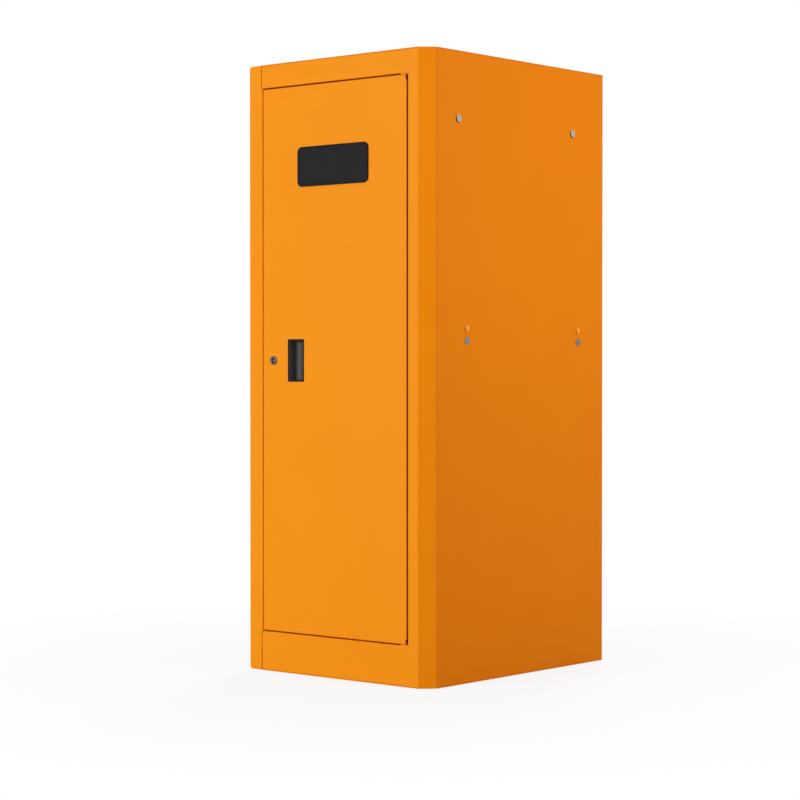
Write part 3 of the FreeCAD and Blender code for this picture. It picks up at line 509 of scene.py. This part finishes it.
def zinc_plate():
    """Clear-passivated zinc on stamped steel: a dull silver with clouds and fine drawing lines.

    The lines run upright. Real ones are under 0.1 mm apart; these are drawn at 0.35 mm to show.
    """
    material, tree, place = surface("zinc_plated_steel")
    clouds = add(tree, "TexNoise", {"Vector": place, "Scale": 1 / 6.0, "Detail": 3.0, "Roughness": 0.6})
    upright = add(tree, "Mapping", {"Vector": place, "Scale": (1.0, 1.0, 0.08)})
    lines = add(tree, "TexNoise", {"Vector": upright, "Scale": 1 / 0.35})
    dress(tree, tint=clouds, colours=("#A9ACAE", "#C3C5C4"), gloss=clouds, roughness=(0.30, 0.44),
          relief=[(lines, 0.004), (clouds, 0.01)], constants={"Metallic": 1.0})
    return material


def dull_zinc():
    """Old zinc on a rolled bolt head: a flat grey, brushed by washers and spanners, with dark clouds."""
    material, tree, place = surface("dull_zinc_on_bolt")
    clouds = add(tree, "TexNoise", {"Vector": place, "Scale": 1 / 2.5, "Detail": 3.0, "Roughness": 0.6})
    dress(tree, tint=clouds, colours=("#6E7069", "#7C7E77"), gloss=clouds, roughness=(0.34, 0.46),
          relief=[(clouds, 0.01)], constants={"Metallic": 1.0})
    return material


def plated_casting(name, dark, light, roughness):
    """Plate over a zinc die casting: its gloss is broken by handling and by the casting's fine pits.

    Real pits are about 0.1 mm across; these are drawn at 0.5 mm to show.
    """
    material, tree, place = surface(name)
    handling = add(tree, "TexNoise", {"Vector": place, "Scale": 1 / 1.6, "Detail": 3.0, "Roughness": 0.6})
    pits = add(tree, "TexNoise", {"Vector": place, "Scale": 1 / 0.5})
    dress(tree, tint=handling, colours=(dark, light), gloss=handling, roughness=roughness,
          relief=[(pits, 0.003)], constants={"Metallic": 1.0})
    return material


def satin_nickel(name, dark, light):
    """Nickel barrelled to a satin skin: a warm grey whose reflections are soft."""
    return plated_casting(name, dark, light, (0.22, 0.34))


def dull_chrome():
    """A thin nickel and chrome plate: bright, with slightly soft reflections."""
    return plated_casting("chromed_die_casting", "#B9BBBD", "#D2D3D3", (0.16, 0.30))


def ferrite():
    """Sintered ferrite, ground flat: a dark grey stone-like magnet with tiny pits."""
    material, tree, place = surface("ground_ferrite")
    pits = add(tree, "TexNoise", {"Vector": place, "Scale": 1 / 0.5, "Detail": 4.0, "Roughness": 0.7})
    dress(tree, tint=pits, colours=("#2E2E31", "#454549"), gloss=pits, roughness=(0.45, 0.7),
          relief=[(pits, 0.02)], constants={"IOR": 2.0, "Specular IOR Level": 0.5})
    return material


finishes = {
    "orange_powder_coat": orange_powder_coat(),
    "black_plastic": black_abs(),
    "grey_nylon": grey_nylon(),
    "zinc_plate": zinc_plate(),
    "bright_chrome": dull_chrome(),
    "magnet_steel": ferrite(),
    "dull_zinc": dull_zinc(),
    # The rivet enamel's lighter orange is a painted highlight
    "rivet_enamel_highlight": rivet_enamel_highlight(),
    # Painted shade at the mouths of the right wall's seam, the left gap and the hinge gap
    "seam_painted_shade": seam_painted_shade("orange_painted_seam_shade", "#CC6E04", "#D67808"),
    "gap_painted_shade": seam_painted_shade("orange_painted_gap_shade", "#5A2600", "#682E00"),
    "hinge_painted_shade": seam_painted_shade("orange_painted_hinge_shade", "#945004", "#A05A08"),
    # Painted shadow under the plug and rivet heads, and painted shade round the lock's face
    "plug_painted_shadow": head_painted_shade("painted_shadow_under_plug", "#2E1C06", "#3C2609"),
    "rivet_painted_shadow": head_painted_shade("painted_shadow_under_rivet", "#7C3600", "#8C4000"),
    "lock_ring": satin_nickel("satin_nickel_plate", "#564C46", "#5E544E"),
    "lock_plug": satin_nickel("worn_nickel_plate", "#5A505A", "#645A66"),
    "lock_edge_painted_shade": head_painted_shade("painted_shade_round_lock", "#241C16", "#30261E"),
    # The pull's hollow is painted a lighter grey than the rim, as painted light
    "polished_abs": polished_abs(),
}


def paint(piece, finish):
    """Gives a whole piece one finish."""
    piece.data.materials.clear()
    piece.data.materials.append(finishes[finish])


def paint_part(piece, finish, rule):
    """Gives the picked faces of a finished piece a finish of their own."""
    piece.data.materials.append(finishes[finish])
    open_mesh(piece)
    pick("FACE", rule)
    piece.active_material_index = len(piece.data.materials) - 1
    bpy.ops.object.material_slot_assign()
    close_mesh()


def fit(piece, body, slot, *nodes, finish=None):
    """Paints a finished piece and puts it in the place of its CAD nodes.

    The slot is the material that those nodes were packed with. It names the finish too, unless
    another is given.
    """
    paint(piece, finish or slot)
    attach(piece, body)
    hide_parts(*nodes)


# ---------------------------------------------------------------- places that the frame gives

# The shell's outside, and the door's opening as the hinge leaves bound it
(left, front, base), (right, back, top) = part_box("body_shell")
frame_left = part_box("front_frame")[0].x
seam_left = frame_left - SEAM
opening_left = seam_left + STILE_STEP
opening_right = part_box("upper_hinge_leaf")[1].x
opening_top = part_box("upper_hinge_leaf")[1].z
opening_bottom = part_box("lower_hinge_leaf")[0].z


def head_radius(node):
    """The radius of the heads of fixings that stand at one height in a side wall."""
    low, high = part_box(node)
    return (high.z - low.z) / 2


def pair_places(node, x):
    """Where the front and the back one of two round fixings stand in a side wall."""
    low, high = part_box(node)
    radius = head_radius(node)
    return [Vector((x, y, low.z + radius)) for y in (low.y + radius, high.y - radius)]


def lock_place():
    """The middle of the lock, in the plane of the door's face."""
    low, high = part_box("lock_housing")
    return Vector(((low.x + high.x) / 2, front, (low.z + high.z) / 2))


# ---------------------------------------------------------------- cabinet

def folded_shell():
    """Top, left wall and base wrapped from one sheet, with the left stile and the rear flanges."""
    step_low, step_high = opening_bottom + FIT, opening_top - FIT
    rear_right = right - REAR_FLANGE - FIT
    shell = block("folded_shell", (left, front, base), (right, back, top))
    open_mesh(shell)
    remove(at(x=right))
    # The front keeps only the left stile
    score(at(y=front), x=(seam_left, opening_left), z=(step_low, step_high))
    remove(at(x=(opening_left, right), y=front))
    for beside_rail in ((base, step_low), (step_high, top)):
        remove(at(x=(seam_left, opening_left), y=front, z=beside_rail))
    # The back keeps only its flanges
    inner_height = (base + REAR_FLANGE, top - REAR_FLANGE)
    score(at(y=back), x=(left + REAR_FLANGE, rear_right), z=inner_height)
    remove(at(x=(rear_right, right), y=back))
    remove(at(x=(left + REAR_FLANGE, right), y=back, z=inner_height))
    # The seam beside the stile cuts a short slot into the base
    slot_end = front + 2 * SHEET
    for level in (base, top):
        score(at(z=level), x=(seam_left, frame_left))
    score(at(x=(seam_left, frame_left), z=base), y=(slot_end,))
    remove(at(x=(seam_left, frame_left), y=(front, slot_end), z=base))
    # The chamfer takes a corner off the top and the base
    pick("FACE", lambda face: abs(face.normal.z) > LEVEL)
    bpy.ops.mesh.bisect(plane_co=(right - CHAMFER, front, base), plane_no=RIGHT - BACK, clear_outer=True)
    # The stile folds back beside the door
    draw_out(at(x=opening_left, y=front), BACK * STILE_RETURN, RIGHT * -RETURN_LIP)
    for level in (base, top):
        fold(fold_line(x=left, z=level), WRAP_FOLD, WRAP_STEPS)
    for depth in (front, front + STILE_RETURN, back):
        fold(fold_line(y=depth), FOLD)
    close_mesh()
    thicken(shell, SHEET)
    for node, radius in (("upper_hole_plugs", UPPER_HOLE), ("shelf_angle_bolts", LOWER_HOLE)):
        for place in pair_places(node, left):
            drill(shell, place, radius, RIGHT, THROUGH)
    soften(shell)
    smooth(shell)
    fit(shell, "cabinet", "orange_powder_coat", "body_shell")
    # Painted shade on the stile's edge at the left seam
    paint_part(shell, "gap_painted_shade", at(x=(seam_left - EDGE_BAND, seam_left), y=(front, front + SHEET)))


def welded_frame():
    """Top rail, chamfered right stile and bottom rail, folded back round the door's opening."""
    low = Vector((frame_left, front, base + SHEET))
    high = Vector((right - CHAMFER, front + WELD_FLANGE, top - SHEET))
    rails = block("welded_frame", low, high)
    open_mesh(rails)
    for open_side in (at(y=high.y), at(x=low.x), at(x=high.x)):
        remove(open_side)
    # The edges of the door's opening fold back, and a lip folds out from each return
    score(at(y=front), x=(opening_right,), z=(opening_bottom, opening_top))
    opening = at(x=(low.x, opening_right), y=front, z=(opening_bottom, opening_top))
    remove(opening)
    draw_out(opening, BACK * STILE_RETURN)
    draw_out(at(x=opening_right, y=front + STILE_RETURN), RIGHT * RETURN_LIP)
    for level, lip in ((opening_bottom, UP * -RETURN_LIP), (opening_top, UP * RETURN_LIP)):
        draw_out(at(y=front + STILE_RETURN, z=level, x=(low.x, opening_right)),
                 BACK * (RAIL_RETURN - STILE_RETURN), lip)
    # The right stile goes on over the chamfer and tucks in behind the right wall
    slope = CHAMFER - SHEET
    draw_out(at(x=high.x, y=front), (RIGHT + BACK) * slope, BACK * (TUCK_END - slope))
    fold(fold_line(x=high.x, y=front), CHAMFER_FOLD)
    fold(fold_line(x=high.x + slope), CHAMFER_FOLD)
    for depth in (front, front + STILE_RETURN, front + RAIL_RETURN):
        fold(fold_line(y=depth), FOLD)
    close_mesh()
    thicken(rails, SHEET)
    soften(rails)
    smooth(rails)
    fit(rails, "cabinet", "orange_powder_coat", "front_frame")


def right_wall():
    """The flat right wall, with flanges under the top, over the base and at the back."""
    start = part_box("right_side_panel")[0].y
    flange_start = front + PANEL_FLANGE_START
    low = Vector((right - REAR_FLANGE, start, base + SHEET))
    high = Vector((right, back, top - SHEET))
    wall = block("right_wall", low, high)
    open_mesh(wall)
    remove(at(x=low.x))
    remove(at(y=start))
    score(at(x=right), y=(flange_start - FIT, flange_start))
    for level in (low.z, high.z):
        score(at(z=level), y=(flange_start,))
        remove(at(y=(start, flange_start), z=level))
    fold(fold_line(x=right), WALL_FOLD)
    fold(fold_line(y=back), WALL_FOLD)
    close_mesh()
    thicken(wall, SHEET)
    soften(wall)
    smooth(wall)
    fit(wall, "cabinet", "orange_powder_coat", "right_side_panel")
    # Painted shade on the wall's front edge, in the seam beside the chamfer
    paint_part(wall, "seam_painted_shade", at(y=(start, start + EDGE_BAND)))


def tray(name, node, thickness):
    """A shelf or floor: a flat pan with its four sides folded down."""
    low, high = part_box(node)
    pan = block(name, low, high)
    open_mesh(pan)
    remove(at(z=low.z))
    fold(fold_line(z=high.z), FOLD)
    close_mesh()
    thicken(pan, thickness)
    soften(pan)
    smooth(pan)
    fit(pan, "cabinet", "orange_powder_coat", node)


# ---------------------------------------------------------------- fixings in the walls

def low_front(side):
    """A rule: the face looks towards the floor or the front of the locker, the side of a head given painted
    shadow.
    """
    return side.normal.y + side.normal.z < -UNDERSIDE


def hole_plugs():
    """Domed nylon plugs in the right wall's upper holes, snapped in from outside.

    From the inside out: a barb on the stem, the neck in the hole, a flat skirt and a domed button.
    """
    node = "upper_hole_plugs"
    low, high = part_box(node)
    places = pair_places(node, right)
    radius = head_radius(node)
    height = high.x - right
    tip = low.x - right
    barb = tip + 3.0 * MM
    stem = 4.7 * MM
    neck = 0.3 * MM
    lower_edge = neck + 0.2 * MM
    upper_edge = height * 0.45
    skirt = height * 0.62
    shoulder = height * 0.8
    button = radius * 0.83
    crown = height * 0.18
    stem_rings = [(tip, stem * 0.8), (barb, stem * 1.04), (barb, stem), (neck, stem * 1.15)]
    skirt_rings = [(neck, radius * 0.95), (lower_edge, radius), (upper_edge, radius), (skirt, button)]
    button_rings = [(shoulder, button)] + dome(button * 0.97, crown, height - crown)
    plug = turned("hole_plugs", places[0], RIGHT, stem_rings + skirt_rings + button_rings)
    smooth(plug, TURNED_ANGLE)
    plugs = repeated("hole_plugs", plug, places)
    fit(plugs, "cabinet", "grey_nylon", "upper_hole_plugs")
    edge = at(x=(right + neck, right + skirt))
    # The skirt's low front side is painted dark: a painted shadow under the head
    paint_part(plugs, "plug_painted_shadow", lambda side: edge(side) and low_front(side))


def angle_rivets():
    """Painted dome-headed rivets through both walls, which hold the shelf angles.

    From the inside out: the swollen tail, the shank, a flat skirt and the dome.
    """
    node = "shelf_angle_rivets"
    radius = head_radius(node)
    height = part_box(node)[1].x - right
    shank = 2.4 * MM
    grip = SHEET + ANGLE_SHEET
    swell = 1.6 * MM
    neck = 0.2 * MM
    lower_edge = neck + 0.15 * MM
    upper_edge = height * 0.5
    skirt = height * 0.68
    crown = height * 0.28
    tail_rings = [(-grip - swell, shank * 0.9), (-grip - swell * 0.6, shank * 1.35), (-grip, shank * 1.4)]
    shank_rings = [(-grip, shank), (neck, shank * 1.1)]
    skirt_rings = [(neck, radius * 0.95), (lower_edge, radius), (upper_edge, radius), (skirt, radius * 0.9)]
    dome_rings = dome(radius * 0.87, crown, height - crown)
    profile = tail_rings + shank_rings + skirt_rings + dome_rings
    walls = []
    for x, outward in ((left, RIGHT * -1), (right, RIGHT)):
        places = pair_places(node, x)
        rivet = turned("angle_rivets", places[0], outward, profile)
        smooth(rivet, TURNED_ANGLE)
        walls.append(repeated("angle_rivets", rivet, places))
    rivets = united("angle_rivets", walls)
    # The heads take the glossier enamel, whose lighter orange is a painted highlight
    fit(rivets, "cabinet", "orange_powder_coat", "shelf_angle_rivets", finish="rivet_enamel_highlight")
    edge_left = at(x=(left - skirt, left - neck))
    edge_right = at(x=(right + neck, right + skirt))
    # The skirts' low front sides are painted dark: a painted shadow under the heads
    paint_part(rivets, "rivet_painted_shadow",
               lambda side: (edge_left(side) or edge_right(side)) and low_front(side))


def angle_bolts():
    """Flat-headed zinc bolts under the rivets of the right wall, the head's edge rolled over."""
    node = "shelf_angle_bolts"
    low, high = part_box(node)
    places = pair_places(node, right)
    radius = head_radius(node)
    height = high.x - right
    shank = 3.0 * MM
    end = low.x - right
    point = 0.6 * MM
    edge = height * 0.45
    ease = edge * 0.3
    shank_rings = [(end, shank * 0.8), (end + point, shank), (0.0, shank)]
    side_rings = [(0.0, radius - ease), (ease, radius), (height - edge, radius)]
    face_rings = [(height - ease, radius - ease), (height, radius - edge), (height, radius * 0.3)]
    bolt = turned("angle_bolts", places[0], RIGHT, shank_rings + side_rings + face_rings)
    smooth(bolt, TURNED_ANGLE)
    bolts = repeated("angle_bolts", bolt, places)
    fit(bolts, "cabinet", "zinc_plate", "shelf_angle_bolts", finish="dull_zinc")


def back_rivets():
    """Domed rivets round the back, along the flanges that hold the back panel."""
    low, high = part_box("back_panel_rivets")
    radius = 4.0 * MM
    height = high.y - back
    shank = 2.0 * MM
    tail = low.y - back
    swell = tail + 1.6 * MM
    shank_rings = [(tail, shank * 0.9), (swell, shank * 1.35), (swell, shank), (0.0, shank)]
    head_rings = [(0.0, radius)] + dome(radius, height)[1:]
    lowest = base + 2 * REAR_FLANGE
    highest = top - 2 * REAR_FLANGE
    side_step = (highest - lowest) / (SIDE_RIVETS - 1)
    end_step = (right - left) / (END_RIVETS + 1)
    places = [Vector((x, back, lowest + index * side_step))
              for x in (low.x + radius, high.x - radius) for index in range(SIDE_RIVETS)]
    places += [Vector((left + index * end_step, back, z))
               for z in (low.z + radius, high.z - radius) for index in range(1, END_RIVETS + 1)]
    rivet = turned("back_rivets", places[0], BACK, shank_rings + head_rings)
    smooth(rivet, TURNED_ANGLE)
    rivets = repeated("back_rivets", rivet, places)
    fit(rivets, "cabinet", "orange_powder_coat", "back_panel_rivets")


# ---------------------------------------------------------------- door

def folded_door():
    """The door's skin, folded back on four sides with a lip at the back."""
    low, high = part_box("door_pan")
    door = block("folded_door", low, high)
    open_mesh(door)
    pick("FACE", at(y=high.y))
    bpy.ops.mesh.inset(thickness=DOOR_LIP, depth=0)
    bpy.ops.mesh.delete(type="FACE")
    for depth in (low.y, high.y):
        fold(fold_line(y=depth), DOOR_FOLD)
    score(at(x=high.x), y=(front + HINGE_SHADE_DEPTH,))
    close_mesh()
    thicken(door, SHEET)
    cup_low, cup_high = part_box("handle_cup")
    rim = Vector((CUP_RIM, 0, CUP_RIM))
    behind = Vector((cup_high.x, front + 2 * SHEET, cup_high.z))
    subtract(door, block("window", cup_low + rim, behind - rim))
    drill(door, lock_place(), LOCK_HOLE, BACK, THROUGH)
    for z_low, z_high in ((low.z - SHEET, low.z + RELIEF.z), (high.z - RELIEF.z, high.z + SHEET)):
        near_corner = (high.x - RELIEF.x, front - SHEET, z_low)
        subtract(door, block("notch", near_corner, (high.x + SHEET, front + RELIEF.y, z_high)))
    soften(door)
    smooth(door)
    fit(door, "door", "orange_powder_coat", "door_pan")
    # Painted shade on the first few millimetres of the door's hinge edge, inside the gap
    paint_part(door, "hinge_painted_shade", at(x=high.x, y=(front, front + HINGE_SHADE_DEPTH)))


def hat_channel():
    """The stiffener up the middle of the door: a channel with a foot on each side."""
    low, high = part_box("door_stiffener")
    middle = (low.x + high.x) / 2
    half = STIFFENER_CROWN / 2 + THIN_SHEET
    foot_face = low.y + THIN_SHEET
    channel = block("hat_channel", (middle - half, foot_face, low.z), (middle + half, high.y, high.z))
    open_mesh(channel)
    for rule in (at(z=low.z), at(z=high.z), at(y=foot_face)):
        remove(rule)
    draw_out(at(x=middle + half, y=foot_face), RIGHT * (high.x - middle - half))
    draw_out(at(x=middle - half, y=foot_face), RIGHT * (low.x - middle + half))
    fold(fold_line(), FOLD)
    close_mesh()
    thicken(channel, THIN_SHEET)
    soften(channel, THIN_EDGE)
    smooth(channel)
    fit(channel, "door", "orange_powder_coat", "door_stiffener")


def round_corners(low, high, radius, steps=FOLD_STEPS):
    """Rounds the four corners of the open block, as they are seen from the front."""
    for x in (low.x, high.x):
        for z in (low.z, high.z):
            fold(at(x=x, z=z), radius, steps)


def scoop(name, margin, right_margin, near, deep):
    """The form of the pull's hollow: a flat floor at the latch side that rises in a curve to the right.

    The margins are measured from the pull's outline; near and deep are where it starts and ends.
    """
    low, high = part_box("handle_cup")
    corner = Vector((low.x + margin, near, low.z + margin))
    far_corner = Vector((high.x - right_margin, deep, high.z - margin))
    floor_end = low.x + CUP_RIM + CUP_WALL + CUP_FLOOR
    run = far_corner.x - floor_end
    places = [floor_end + run * step / CUP_STEPS for step in range(CUP_STEPS + 1)]
    form = block(name, corner, far_corner)
    open_mesh(form)
    score(lambda face: True, x=places[:-1])
    for step, place in enumerate(places[1:], 1):
        pick("VERT", at(x=place, y=deep))
        rise = (deep - near) * (1 - math.cos(math.pi / 2 * step / CUP_STEPS))
        bpy.ops.transform.translate(value=BACK * -rise)
    bpy.ops.mesh.select_all(action="SELECT")
    bpy.ops.mesh.remove_doubles(threshold=HAIR)
    bpy.ops.mesh.normals_make_consistent(inside=False)
    close_mesh()
    return form


def finger_cup():
    """The moulded pull: a thin rim on the door's face round a hollow for the fingertips."""
    low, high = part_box("handle_cup")
    cup = block("finger_cup", low, (high.x, front, high.z))
    open_mesh(cup)
    round_corners(low, high, CUP_CORNER)
    close_mesh()
    margin = CUP_RIM + FIT
    inside_rim = (low.y + front) / 2
    body = scoop("cup_body", margin, margin, inside_rim, high.y)
    modify(cup, "BOOLEAN", operation="UNION", solver="EXACT", object=body)
    bpy.data.objects.remove(body)
    inner = margin + CUP_WALL
    subtract(cup, scoop("cup_hollow", inner, CUP_LIP, low.y - CUP_RIM, high.y - CUP_WALL))
    soften(cup, CUP_EDGE, MOULDED_STEPS)
    smooth(cup, MOULDED_ANGLE)
    fit(cup, "door", "black_plastic", "handle_cup")
    # The hollow is painted a lighter grey than the rim, as painted light
    paint_part(cup, "polished_abs", at(y=(low.y + RIM_FACE, high.y)))


def blank_badge():
    """A plain black plate with rounded corners and a raised rim, held by two studs."""
    low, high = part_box("badge_plate")
    middle = (low + high) / 2
    plate = block("blank_badge", low, (high.x, front, high.z))
    open_mesh(plate)
    round_corners(low, high, BADGE_CORNER, BADGE_CORNER_STEPS)
    pick("FACE", at(y=low.y))
    bpy.ops.mesh.inset(thickness=BADGE_RIM, depth=0)
    bpy.ops.mesh.inset(thickness=BADGE_SLOPE, depth=-BADGE_RECESS)
    close_mesh()
    length = high.y - front
    point = 0.5 * MM
    profile = [(-BADGE_RECESS, STUD_HOLE), (length - point, STUD_HOLE), (length, STUD_HOLE * 0.7)]
    studs = [turned("stud", Vector((x, front, middle.z)), BACK, profile)
             for x in (middle.x - BADGE_STUDS / 2, middle.x + BADGE_STUDS / 2)]
    soften(plate, BADGE_EDGE, MOULDED_STEPS)
    plate = united("blank_badge", [plate] + studs)
    smooth(plate, MOULDED_ANGLE)
    fit(plate, "door", "black_plastic", "badge_plate")


# ---------------------------------------------------------------- lock

def lock_barrel():
    """The lock's fixed barrel, with a round face whose edges are turned soft."""
    low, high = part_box("lock_housing")
    face = (high.z - low.z) / 2
    proud = front - low.y
    rear = front - high.y
    lead = 0.5 * MM
    lead_end = proud * 0.75
    outer_rings = [(rear, LOCK_HOLE), (0.0, LOCK_HOLE), (0.0, face)]
    edge_rings = [(proud * height, face * width) for height, width in LOCK_EDGE]
    bore_rings = [(proud, LOCK_BORE + lead), (lead_end, LOCK_BORE), (rear, LOCK_BORE), (rear, LOCK_HOLE)]
    barrel = turned("lock_barrel", lock_place(), BACK * -1, outer_rings + edge_rings + bore_rings,
                    closed=True)
    smooth(barrel, TURNED_ANGLE)
    fit(barrel, "door", "bright_chrome", "lock_housing", finish="lock_ring")
    outside = at(y=(low.y, front))
    # All of the lock's soft edge except its flat face is painted dark, as painted shade
    paint_part(barrel, "lock_edge_painted_shade", lambda side: outside(side) and side.normal.y > -FACE_ON)


def lock_core():
    """The plug that the key turns: a ring keyway round a centre post, and a square end for the cam."""
    low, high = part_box("lock_plug")
    middle = lock_place()
    radius = 4.2 * MM
    bevel = 0.2 * MM
    outer = 3.6 * MM
    post = 2.1 * MM
    post_bevel = 0.3 * MM
    keyway = 4.0 * MM
    half_notch = 0.5 * MM
    square = 2.5 * MM
    face = front - low.y
    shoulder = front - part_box("lock_cam")[0].y + FIT
    barrel_rings = [(shoulder, radius), (face - bevel, radius), (face, radius - bevel)]
    keyway_rings = [(face, outer), (face - keyway, outer), (face - keyway, post)]
    post_rings = [(face - post_bevel, post), (face, post - post_bevel)]
    core = turned("lock_core", middle, BACK * -1, barrel_rings + keyway_rings + post_rings)
    end = block("square", middle + Vector((-square, -shoulder, -square)),
                middle + Vector((square, high.y - front, square)))
    notch = block("notch", middle + Vector((-half_notch, -face - FIT, post)),
                  middle + Vector((half_notch, keyway - face, radius + FIT)))
    subtract(core, notch)
    core = united("lock_core", [core, end])
    smooth(core, TURNED_ANGLE)
    fit(core, "lock_cylinder", "bright_chrome", "lock_plug", finish="lock_plug")


# ---------------------------------------------------------------- making the locker

# CAD pieces that stay as they are take the finish of the slot that each was packed with
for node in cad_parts.values():
    paint(node, node.data.materials[0].name.split(".")[0])

folded_shell()
welded_frame()
right_wall()
tray("floor_tray", "floor_pan", SHEET)
for level in ("lower", "middle", "upper"):
    tray(level + "_shelf_tray", level + "_shelf", THIN_SHEET)
hole_plugs()
angle_rivets()
angle_bolts()
back_rivets()
folded_door()
hat_channel()
finger_cup()
blank_badge()
lock_barrel()
lock_core()


# ---------------------------------------------------------------- stage

def camera():
    """A camera at half height in front of the locker's right front corner."""
    lens = bpy.data.cameras.new("camera")
    lens.lens = CAMERA_LENS
    body = bpy.data.objects.new("camera", lens)
    body.location = CAMERA_PLACE
    body.rotation_euler = (math.pi / 2 - CAMERA_TILT, 0, CAMERA_TURN)
    bpy.context.scene.collection.objects.link(body)
    bpy.context.scene.camera = body


def softbox(name, place, target, size, power, tint=WHITE):
    """A large soft lamp that points at a place and stays out of the camera's sight."""
    lamp = bpy.data.lights.new(name, "AREA")
    lamp.shape = "SQUARE"
    lamp.size = size
    lamp.energy = power
    lamp.color = linear(tint)[:3]
    body = bpy.data.objects.new(name, lamp)
    body.location = place
    body.rotation_euler = (Vector(target) - Vector(place)).to_track_quat("-Z", "Y").to_euler()
    body.visible_camera = False
    bpy.context.scene.collection.objects.link(body)


def seen_directly(tree):
    """One where a ray comes straight from the camera or by a reflection or through glass, else zero."""
    path = add(tree, "LightPath", {}).outputs
    seen = path["Is Camera Ray"]
    for other in ("Is Glossy Ray", "Is Transmission Ray"):
        seen = add(tree, "Math", {0: seen, 1: path[other]}, operation="MAXIMUM")
    return seen


def backdrop():
    """A white surround for the eye, and a dimmer even light for the locker."""
    world = bpy.data.worlds.new("studio")
    bpy.context.scene.world = world
    tree = bare_tree(world)
    seen = add(tree, "Background", {"Color": linear(WHITE), "Strength": 1.0})
    fill = add(tree, "Background", {"Color": linear(WHITE), "Strength": FILL})
    mix = add(tree, "MixShader", {0: seen_directly(tree), 1: fill, 2: seen})
    add(tree, "OutputWorld", {"Surface": mix})


def floor():
    """A pale floor that keeps the locker's soft shadow and runs out into the white backdrop."""
    bpy.ops.object.select_all(action="DESELECT")
    bpy.ops.mesh.primitive_plane_add(size=FLOOR_SIZE, location=(0, 0, base - HAIR))
    ground = named("floor")
    material = bpy.data.materials.new("pale_floor")
    tree = bare_tree(material)
    place = add(tree, "TexCoord", {}).outputs["Object"]
    reach = add(tree, "VectorMath", {0: place}, operation="LENGTH").outputs["Value"]
    near_locker = add(tree, "MapRange", {"Value": reach, "From Min": right, "From Max": SHADOW_REACH,
                                         "To Min": SHADOW_SHARE, "To Max": 0.0})
    matt = add(tree, "BsdfDiffuse", {"Color": linear(FLOOR_SEEN)})
    bounce = add(tree, "BsdfDiffuse", {"Color": linear(FLOOR_BOUNCE)})
    glow = add(tree, "Emission", {"Color": linear(WHITE), "Strength": 1.0})
    shown = add(tree, "MixShader", {0: near_locker, 1: glow, 2: matt})
    mix = add(tree, "MixShader", {0: seen_directly(tree), 1: bounce, 2: shown})
    add(tree, "OutputMaterial", {"Surface": mix})
    ground.data.materials.append(material)


camera()
backdrop()
floor()
softbox("front_softbox", place=(-2.5, -7.0, 1.4), target=(0, front, 0.5), size=2.6, power=444.0)
softbox("right_softbox", place=(right + 1.0, 0.2, 0.9), target=(right, 0.1, 0.85), size=0.8, power=4.1)
softbox("far_right_softbox", place=(5.2, -0.5, 1.9), target=(right, 0, 0.5), size=2.4, power=103.0,
        tint=WARM)
softbox("rear_softbox", place=(-2.6, 5.2, 5.0), target=(0, 0, 0.6), size=2.4, power=320.0)
bpy.context.scene.view_settings.view_transform = "Standard"
